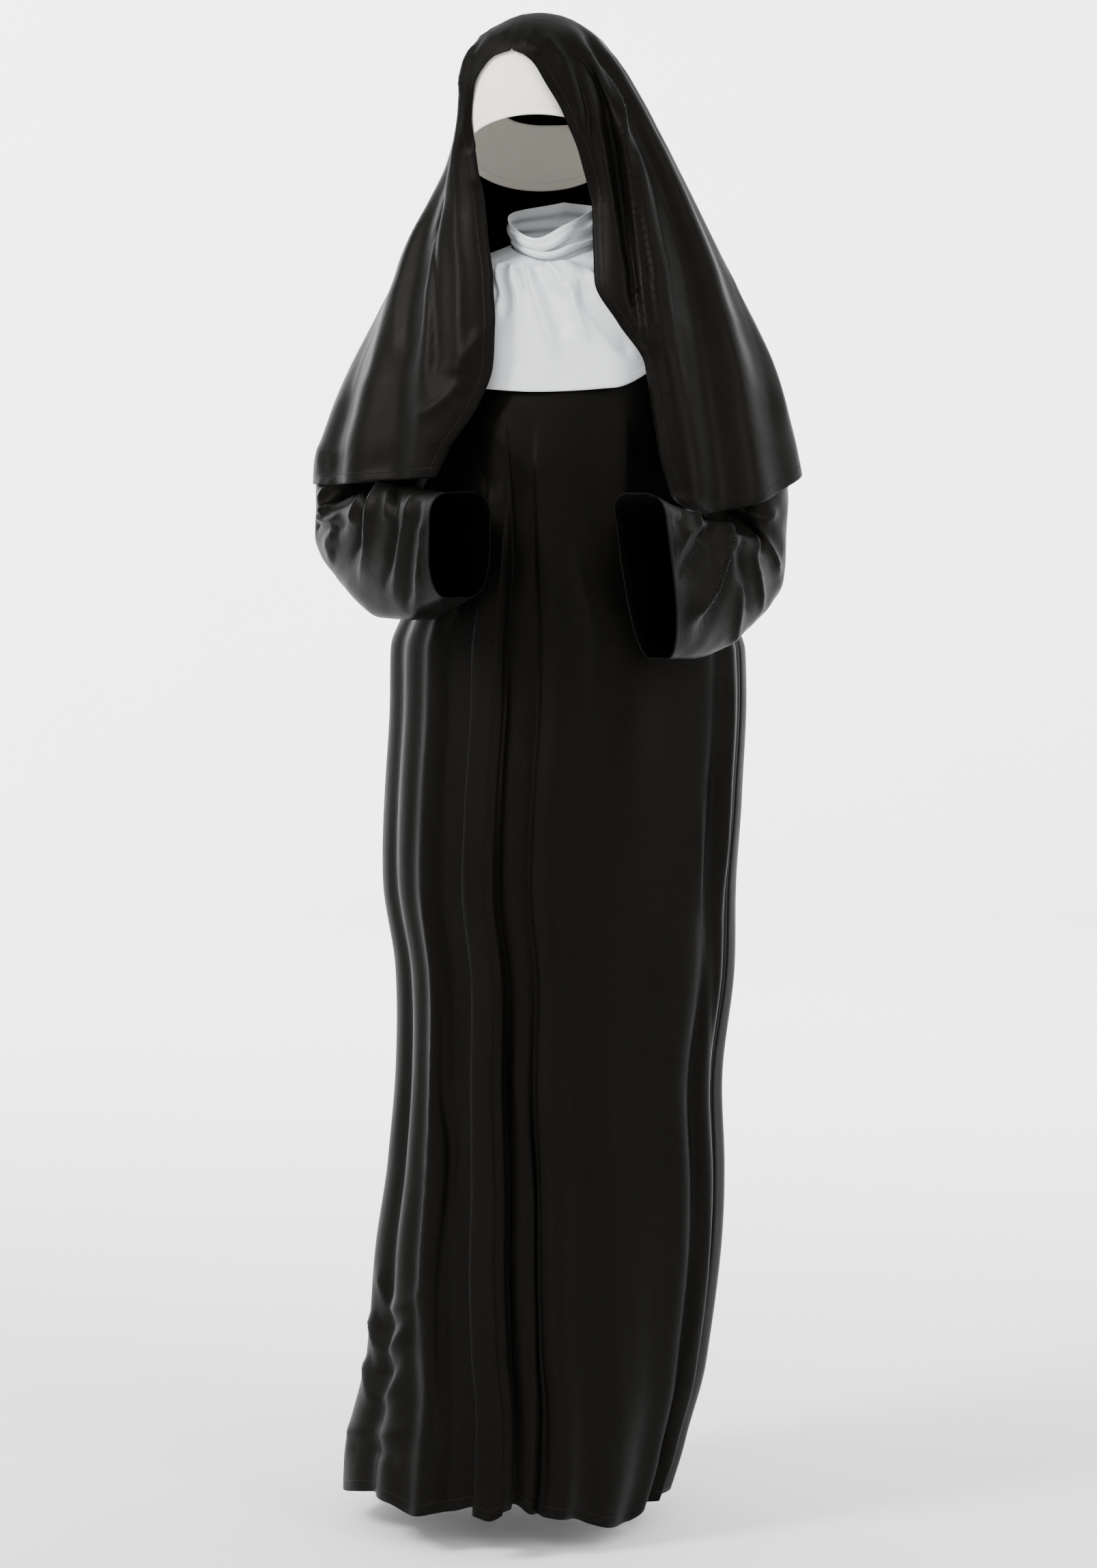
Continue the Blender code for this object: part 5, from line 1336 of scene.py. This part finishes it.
# %% Creases of the veil
VEIL_CREASES = (
    # the roll beside the face on the left, down to where it splits into a Y
    Crease(0.0046, 0.01, 0.007, ((-47, 0.19), (-46.5, 0.12), (-36, 0.06), (-26, -0.016),
           (-19.5, -0.092), (-16.5, -0.15))),
    Crease(-0.005, 0.006, 0.007, ((-58, 0.16), (-54, 0.09), (-44, 0.03), (-33, -0.04), (-26, -0.11),
           (-24, -0.16))),
    Crease(0.005, 0.006, 0.009, ((-16.4, -0.128), (-19.8, -0.153), (-24, -0.168), (-30, -0.18))),
    Crease(0.004, 0.006, 0.008, ((-12.5, -0.07), (-15.2, -0.096), (-18, -0.116), (-19, -0.136))),
    Crease(0.0035, 0.006, 0.008, ((-39, 0.125), (-32, 0.1), (-26, 0.076))),
    # the outer part on the left
    Crease(-0.004, 0.01, 0.012, ((-45, 0.09), (-47, 0.05), (-45, -0.01), (-38, -0.07), (-34, -0.14))),
    Crease(0.0034, 0.014, 0.013, ((-70, 0.07), (-64, 0.02), (-56, -0.036), (-47, -0.085),
           (-40, -0.13))),
    Crease(-0.0028, 0.01, 0.012, ((-74, 0), (-67, -0.04), (-60, -0.095), (-53, -0.145))),
    Crease(0.0028, 0.01, 0.013, ((-80, -0.01), (-74, -0.06), (-69, -0.11), (-64, -0.165))),
    Crease(0.0022, 0.013, 0.014, ((-96, -0.06), (-88, -0.12), (-84, -0.2))),
    Crease(0.0035, 0.007, 0.01, ((-16, -0.155), (-18, -0.18), (-20, -0.215))),
    # the gathers at the hairline
    Crease(0.003, 0.004, 0.007, ((-26, 0.254), (-38, 0.244), (-50, 0.23), (-54, 0.205), (-52, 0.18))),
    Crease(-0.0024, 0.004, 0.005, ((-34, 0.256), (-48, 0.244), (-60, 0.224), (-62, 0.196))),
    Crease(0.0028, 0.004, 0.007, ((-40, 0.26), (-58, 0.246), (-70, 0.222), (-72, 0.19))),
    Crease(0.0026, 0.004, 0.006, ((-12, 0.246), (-24, 0.242), (-36, 0.232), (-42, 0.214))),
    Crease(0.0024, 0.005, 0.006, ((-64, 0.262), (-84, 0.25), (-94, 0.226), (-96, 0.19))),
    Crease(0.0032, 0.005, 0.007, ((-357, 0.24), (-352, 0.233), (-346, 0.226), (-342, 0.214))),
    Crease(-0.0028, 0.004, 0.005, ((-350, 0.24), (-342, 0.233), (-334, 0.222), (-331, 0.206))),
    # the folds beside the face on the right
    Crease(0.006, 0.008, 0.006, ((-345, 0.24), (-334, 0.228), (-327, 0.2), (-326.5, 0.16),
           (-331, 0.12))),
    Crease(-0.006, 0.006, 0.006, ((-330, 0.236), (-320, 0.216), (-322, 0.165), (-328, 0.095),
           (-331, 0.04))),
    Crease(0.006, 0.007, 0.006, ((-326, 0.232), (-318, 0.205), (-319.5, 0.14), (-325, 0.06),
           (-328, -0.019), (-329, -0.1))),
    Crease(-0.012, 0.006, 0.005, ((-318, 0.228), (-310, 0.192), (-315.5, 0.116), (-321.5, 0.05),
           (-326, -0.034), (-327, -0.11))),
    Crease(0.0085, 0.004, 0.006, ((-302, 0.216), (-298, 0.19), (-308, 0.132), (-316, 0.056),
           (-322, -0.019), (-324.4, -0.092), (-325.2, -0.166), (-325, -0.27))),
    Crease(-0.004, 0.003, 0.003, ((-303, 0.17), (-311, 0.1), (-317, 0.03), (-321, -0.04),
           (-322.8, -0.11), (-323.6, -0.2))),
    Crease(0.0055, 0.004, 0.009, ((-300, 0.15), (-308, 0.09), (-315, 0.02), (-319.4, -0.05),
           (-321.4, -0.12), (-322.4, -0.23))),
    Crease(-0.004, 0.007, 0.012, ((-299, 0.09), (-306, 0.03), (-311, -0.04), (-314, -0.1),
           (-317, -0.18))),
    # the broad part on the right
    Crease(0.0018, 0.018, 0.02, ((-284, 0.06), (-288, -0.02), (-294, -0.1), (-301, -0.2))),
    Crease(-0.0022, 0.014, 0.016, ((-262, 0.02), (-268, -0.05), (-277, -0.13), (-286, -0.215))),
    Crease(0.0026, 0.012, 0.012, ((-254, 0.01), (-260, -0.06), (-268, -0.13), (-276, -0.2))),
    # the back (guessed)
    Crease(0.004, 0.012, 0.014, ((-104, 0.2), (-112, 0.1), (-108, -0.02), (-96, -0.16))),
    Crease(-0.0045, 0.01, 0.012, ((-124, 0.19), (-130, 0.08), (-122, -0.06), (-112, -0.22))),
    Crease(0.005, 0.01, 0.014, ((-142, 0.21), (-148, 0.1), (-144, -0.06), (-134, -0.25))),
    Crease(-0.0045, 0.012, 0.01, ((-160, 0.19), (-164, 0.07), (-162, -0.1), (-156, -0.3))),
    Crease(0.005, 0.014, 0.01, ((-178, 0.21), (-176, 0.08), (-180, -0.08), (-178, -0.32))),
    Crease(-0.0045, 0.01, 0.012, ((-198, 0.19), (-194, 0.06), (-200, -0.1), (-206, -0.29))),
    Crease(0.0045, 0.01, 0.013, ((-216, 0.2), (-212, 0.09), (-220, -0.06), (-230, -0.24))),
    Crease(-0.004, 0.011, 0.012, ((-236, 0.18), (-232, 0.08), (-238, -0.05), (-250, -0.2))),
)
VEIL_STATIONS = np.linspace(0.0, 1.0, 240)
VEIL_TOP = np.array([0.2735, 0.2705, 0.2660, 0.2600, 0.2530, 0.2450, 0.2380, 0.2320, 0.2270,
                     0.2235, 0.2215])
LEVELS, FALLS = ((98, 84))
veil_levels = np.concatenate([VEIL_TOP, np.linspace(0.2190, VEIL_SPLIT, LEVELS)])
veil_falls = np.linspace(0.0, 1.0, FALLS + 1)[1:]


def veil_grid(stations, levels, falls):
    """Rows of the veil: level ones at each height in levels, then rows down to the hem at falls."""
    upper = [veil_point(veil_angles(stations, z), z) for z in levels]
    lower = []
    for share in falls:
        z = np.full_like(stations, VEIL_SPLIT)
        for _ in range(6):
            hem = curve(VEIL_HEM, "z", veil_angles(stations, z))
            z = VEIL_SPLIT + (hem - VEIL_SPLIT) * share
        lower.append(veil_point(veil_angles(stations, z), z))
    return np.array(upper + lower)


print("the veil has", len(VEIL_CREASES), "creases on", len(VEIL_STATIONS), "columns")

# %% [markdown]
# ## Hanging the veil
# Now the veil is laid over everything that is already made. Its rows are closed at the crown by
# merging the points of the first row into one, so there is no hole at the top.

# %% Hanging the veil
veil_points = veil_grid(VEIL_STATIONS, veil_levels, veil_falls)
veil_normals = grid_normals(veil_points, False)
veil_out = crease_heights(veil_points, veil_normals, VEIL_CREASES, veil_point)
veil_out += soft_waves(veil_points, 31, 14, 0.06, 0.16, 0.0008, 0.12)
veil_out *= ease((0.266 - veil_points[..., 2]) / 0.03)
veil_points = veil_points + veil_normals * veil_out[..., None]
under = [front_grid, back_grid, closed_up(bib), closed_up(band)]
under += [closed_up(g) for g in sleeve_grids.values()]
veil_points = rest_on(veil_points, tree_of(under), WALL + 0.0012)
pole = np.array([VEIL[0].x, VEIL[0].y, VEIL[0].z])
veil_points = np.concatenate([np.broadcast_to(pole, (1,) + veil_points.shape[1:]), veil_points])


def veil_edge(points, top_rows):
    """The distance to the nearest free edge of the veil: its two front edges and its hem."""
    place = flat_places(points, False)
    half = np.abs(place[:, :1, 0])
    side = half - np.abs(place[..., 0])
    side[:top_rows] = NO_HEM
    return np.minimum(side, place[-1:, :, 1] - place[..., 1])


veil = cloth("veil_cloth", veil_points, black_satin, edge=veil_edge(veil_points, len(VEIL_TOP)))
whole = bmesh.new()
whole.from_mesh(veil.data)
bmesh.ops.remove_doubles(whole, verts=whole.verts, dist=0.00005)
whole.to_mesh(veil.data)
whole.free()
print("the veil's lowest point is at", round(float(veil_points[..., 2].min()), 3))

# %% [markdown]
# ## Stitches
# Hems are held by a row of small stitches. Each one is a thin bead that lies half in the cloth.
# They are many and all alike, so one joined mesh is made for each piece: a helper walks along a
# line of points and sets a bead at every step. An array along a curve would need one object more
# for each row.

# %% Rows of stitches
STITCH_LONG, STITCH_GAP, STITCH_WIDE = 0.0024, 0.0012, 0.00045
BEAD_SIDES = 5
BEAD_BODY = 0.32        # its straight part reaches this share of its length to both sides
BEAD_FLAT = 0.8         # how high it is for its width


def spaced(line, values):
    """Values that belong to the points of a line, read off at every stitch."""
    way = way_along(line)
    spacing = STITCH_LONG + STITCH_GAP
    marks = np.arange(spacing, way[-1] - spacing, spacing)
    return np.stack([np.interp(marks, way, values[:, k]) for k in range(3)], -1)


def stitch_mesh(rows):
    """Beads along every (line, normals) pair in rows."""
    verts, faces = [], []
    n = BEAD_SIDES
    ring = np.linspace(0, 2 * np.pi, n + 1)[:-1]
    for line, normals in rows:
        centres, up = spaced(line, line), spaced(line, normals)
        up /= np.linalg.norm(up, axis=1, keepdims=True)
        ahead = np.gradient(centres, axis=0)
        ahead -= (ahead * up).sum(axis=1, keepdims=True) * up
        ahead /= np.linalg.norm(ahead, axis=1, keepdims=True)
        side = np.cross(up, ahead)
        for c, a, s, u in zip(centres, ahead, side, up):
            base = len(verts)
            for offset in (-BEAD_BODY, BEAD_BODY):
                for t in ring:
                    around = s * np.cos(t) * STITCH_WIDE + u * np.sin(t) * STITCH_WIDE * BEAD_FLAT
                    verts.append(c + a * offset * STITCH_LONG + around)
            verts.append(c - a * 0.5 * STITCH_LONG)
            verts.append(c + a * 0.5 * STITCH_LONG)
            for j in range(n):
                k = (j + 1) % n
                faces.append((base + j, base + n + j, base + n + k, base + k))
                faces.append((base + 2 * n, base + j, base + k))
                faces.append((base + 2 * n + 1, base + n + k, base + n + j))
    return verts, faces


def stitches(name, rows, material):
    """One joined mesh with all stitches of a piece."""
    verts, faces = stitch_mesh(rows)
    print(name, "has", len(verts) // (2 * BEAD_SIDES + 2), "stitches")
    return mesh_object(name, [tuple(v) for v in verts], faces, material)


print("a stitch is", STITCH_LONG, "m long")

# %% [markdown]
# ## Thread
# The thread is glossier than the cloth it holds, which is what makes a seam show on black cloth.
# One material in two colours is enough.

# %% Sewing every hem
def thread(name, colour):
    material, shader = new_material(name, colour)
    place = material.node_tree.nodes.new("ShaderNodeTexCoord").outputs["Object"]
    shade = noise(material, place, scale=900.0, detail=2.0)
    light = tuple(min(1.0, c * 1.2) for c in colour)
    tinted(material, shader, shade, tuple(c * 0.8 for c in colour), light)
    shader.inputs["Roughness"].default_value = 0.38
    shader.inputs["Specular IOR Level"].default_value = 0.12
    twist = threads(material, place, pitch=0.0003, slant=0.6)
    bumped(material, shader, twist, strength=0.5, distance=0.00005)
    return material


black_thread = thread("black_thread", (0.006, 0.0058, 0.0056))
white_thread = thread("white_thread", (0.80, 0.81, 0.83))


def line_at(grid, distance, width, closed=False):
    """The line that lies a width from an edge, across the columns of a grid, with its normals."""
    normals = grid_normals(grid, closed)
    line, ups = [], []
    for column in range(grid.shape[1]):
        at = distance[:, column]
        order = np.argsort(at)
        row = np.interp(width, at[order], np.arange(len(at))[order].astype(float))
        low = min(int(row), len(at) - 2)
        t = row - low
        line.append(grid[low, column] * (1 - t) + grid[low + 1, column] * t)
        ups.append(normals[low, column])
    line, ups = np.array(line), np.array(ups)
    if closed:
        line, ups = np.vstack([line, line[:1]]), np.vstack([ups, ups[:1]])
    return line, ups


hem_front = line_at(front_grid, from_row(front_grid, -1), HEM)
hem_back = line_at(back_grid, from_row(back_grid, -1), HEM)
cuffs = [line_at(grid, from_row(grid, -1), HEM, True) for grid in sleeve_grids.values()]
gown_stitches = stitches("gown_hem_stitches", [hem_front, hem_back], black_thread)
cuff_stitches = stitches("cuff_stitches", cuffs, black_thread)
bib_line = line_at(bib, from_row(bib, -1), SMALL_HEM, True)
bib_stitches = stitches("bib_stitches", [bib_line], white_thread)
band_line = line_at(band, from_row(band, 0), SMALL_HEM, True)
band_stitches = stitches("headband_stitches", [band_line], white_thread)

# %% [markdown]
# The veil has three hems: its two front edges and the one below. The front edges run down the rows
# of the grid and not across them, so they need a helper of their own.

# %% Sewing the veil's edges
def side_line(grid, first_row, width, left):
    """The line that lies a width inside one front edge of the veil."""
    normals = grid_normals(grid, False)
    line, ups = [], []
    for row in range(first_row, grid.shape[0] - 3):
        points = grid[row] if left else grid[row][::-1]
        up = normals[row] if left else normals[row][::-1]
        way = way_along(points)
        k = int(np.searchsorted(way, width))
        t = (width - way[k - 1]) / (way[k] - way[k - 1])
        line.append(points[k - 1] * (1 - t) + points[k] * t)
        ups.append(up[k])
    return np.array(line), np.array(ups)


first = len(VEIL_TOP) + 2       # above this row the veil is closed and has no front edges
veil_rows = [side_line(veil_points, first, HEM, left) for left in (True, False)]
veil_rows.append(line_at(veil_points, from_row(veil_points, -1), HEM))
veil_stitches = stitches("veil_stitches", veil_rows, black_thread)

# %% [markdown]
# ## Attaching the pieces
# Every piece rides on the one body of the model, and the solid it stands for is hidden. Its rows
# of stitches ride on the same body. The table also gives each piece's finish, grid, whether it is
# closed, how it is held and what it rests on; the loop below does not use these.


PANELS = ["gown_front", "gown_back"]
UNDER_VEIL = ["headband", "sleeve_right", "sleeve_left"]
PIECES = (
    (gown_front, "gown_front", "black_satin", front_grid, False, "hung", ["gown_back"]),
    (gown_back, "gown_back", "black_satin", back_grid, False, "hung", ["gown_front"]),
    (sleeve_right, "sleeve_right", "black_satin", sleeve_grids[-1], True, "draped", PANELS),
    (sleeve_left, "sleeve_left", "black_satin", sleeve_grids[1], True, "draped", PANELS),
    (collar_bib, "collar_bib", "white_satin", bib, True, "laid", PANELS),
    (neck_band, "neck_band", "white_satin", neck, True, "gathered", ["collar_bib"]),
    (headband, "headband", "cream_jersey", band, True, "stretched", ["veil"]),
    (veil, "veil", "black_satin", veil_points, False, "draped", UNDER_VEIL),
)
STITCHED = {
    "gown_front": [gown_stitches],
    "sleeve_right": [cuff_stitches],
    "collar_bib": [bib_stitches],
    "headband": [band_stitches],
    "veil": [veil_stitches],
}
for piece, node, finish, grid, closed, held, rests in PIECES:
    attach(piece, "root")
    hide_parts(node)
    extra = STITCHED.get(node, [])
    for row in extra:
        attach(row, "root")

# %% [markdown]
# ## Floor, light and camera
# The gown hangs just above a pale floor that curves up behind it. Black satin shows its form only
# by what it reflects, so large soft lights stand on both sides and draw a grey line down every
# fold, and a weaker one in front fills the white pieces.

# %% Floor
FLOOR_Z, FLOOR_HALF, SWEEP = -1.434, 6.0, 1.6


def pale_floor():
    """A floor whose far side curves up into a wall all round."""
    rings, columns = 40, 64
    verts = [(0.0, 0.0, FLOOR_Z)]
    for i in range(rings):
        t = i / (rings - 1)
        if t < 0.5:
            reach, height = FLOOR_HALF * t / 0.5, 0.0
        else:
            bend = (t - 0.5) / 0.5 * np.pi / 2
            reach, height = FLOOR_HALF + SWEEP * np.sin(bend), SWEEP * (1 - np.cos(bend)) * 2.6
        reach = max(reach, 0.05)
        for j in range(columns):
            a = 2 * np.pi * j / columns
            verts.append((reach * np.cos(a), reach * np.sin(a), FLOOR_Z + height))
    faces = [(0, 1 + j, 1 + (j + 1) % columns) for j in range(columns)]
    for i in range(rings - 1):
        for j in range(columns):
            k = (j + 1) % columns
            a, b = 1 + i * columns, 1 + (i + 1) * columns
            faces.append((a + j, b + j, b + k, a + k))
    material, shader = new_material("pale_floor", (0.86, 0.86, 0.86))
    place = material.node_tree.nodes.new("ShaderNodeTexCoord").outputs["Object"]
    cloudy = noise(material, place, scale=3.0)
    tinted(material, shader, cloudy, (0.85, 0.85, 0.855), (0.88, 0.88, 0.88))
    shader.inputs["Roughness"].default_value = 0.7
    return mesh_object("pale_floor", verts, faces, material)


floor = pale_floor()
world = bpy.data.worlds.new("studio")
bpy.context.scene.world = world
world.use_nodes = True
world.node_tree.nodes["Background"].inputs["Color"].default_value = (1.0, 1.0, 1.0, 1.0)
world.node_tree.nodes["Background"].inputs["Strength"].default_value = 1.25
print("the floor lies", round(-FLOOR_Z, 3), "m below the neck hole")

# %% [markdown]
# ## Lights
# The key light is large and stands high on the left, so folds are bright on that side and dark on
# the other. A weaker one on the right keeps the dark side readable. Two lamps shine on the wall
# behind, away from the habit, because a pale wall needs far more light than black cloth does.

# %% Lights
Lamp = namedtuple("Lamp", "name azimuth height away wide tall power aim")
LAMPS = (
    Lamp("key", -44.0, 2.1, 3.2, 0.9, 1.6, 225.0, -0.35),
    Lamp("fill", 60.0, 0.9, 3.2, 1.0, 2.4, 75.0, -0.6),
    Lamp("front", 14.0, 2.6, 4.6, 2.4, 1.2, 45.0, -0.5),
    Lamp("side_right", 120.0, 1.2, 3.0, 0.8, 2.0, 26.0, -0.5),
    Lamp("side_left", -125.0, 1.2, 3.0, 0.8, 2.0, 14.0, -0.5),
)


def soft_light(name, place, aim, wide, tall, power):
    """A large soft light at a place, turned to a point."""
    light = bpy.data.lights.new(name, "AREA")
    light.shape = "RECTANGLE"
    light.size, light.size_y, light.energy = wide, tall, power
    light_object = bpy.data.objects.new(name, light)
    bpy.context.scene.collection.objects.link(light_object)
    light_object.location = place
    way = Vector(aim) - light_object.location
    light_object.rotation_euler = way.to_track_quat("-Z", "Y").to_euler()
    print("light", name, "of", power, "W")


for lamp in LAMPS:
    a = np.radians(lamp.azimuth)
    place = (lamp.away * np.sin(a), -lamp.away * np.cos(a), lamp.height)
    soft_light(lamp.name, place, (0.0, 0.0, lamp.aim), lamp.wide, lamp.tall, lamp.power)
for side in (-1, 1):
    place, aim = (side * 2.6 - 1.2, 2.2, 2.6), (side * 1.6 - 2.2, 7.5, 0.2)
    soft_light("wall_light", place, aim, wide=3.0, tall=1.0, power=620.0)

# %% [markdown]
# The camera stands a little to the right of the front and slightly above the middle. A long lens
# keeps the proportions of the figure true.

# %% Camera
CAMERA_ANGLE = np.radians(16.0)
CAMERA_AWAY, CAMERA_Z, AIM_Z = 4.2, -0.24, -0.59
LENS, SHIFT_RIGHT = 84.94, -0.0175
ahead = Vector((-np.sin(CAMERA_ANGLE), np.cos(CAMERA_ANGLE), 0.0))
right = Vector((np.cos(CAMERA_ANGLE), np.sin(CAMERA_ANGLE), 0.0))
camera_data = bpy.data.cameras.new("camera")
camera_data.lens = LENS
camera_data.sensor_width = 36.0
camera = bpy.data.objects.new("camera", camera_data)
bpy.context.scene.collection.objects.link(camera)
camera.location = ahead * -CAMERA_AWAY + right * SHIFT_RIGHT + Vector((0.0, 0.0, CAMERA_Z))
aim = right * SHIFT_RIGHT + Vector((0.0, 0.0, AIM_Z))
camera.rotation_euler = (aim - camera.location).to_track_quat("-Z", "Y").to_euler()
bpy.context.scene.camera = camera
print("the camera stands at", [round(v, 3) for v in camera.location])

# %% [markdown]
# ## Finishing
# The fine cloth has to fill the same box as the solids. Last, the view layer is brought up to
# date so every piece has its final place.

# %% Finishing
bpy.context.view_layer.update()
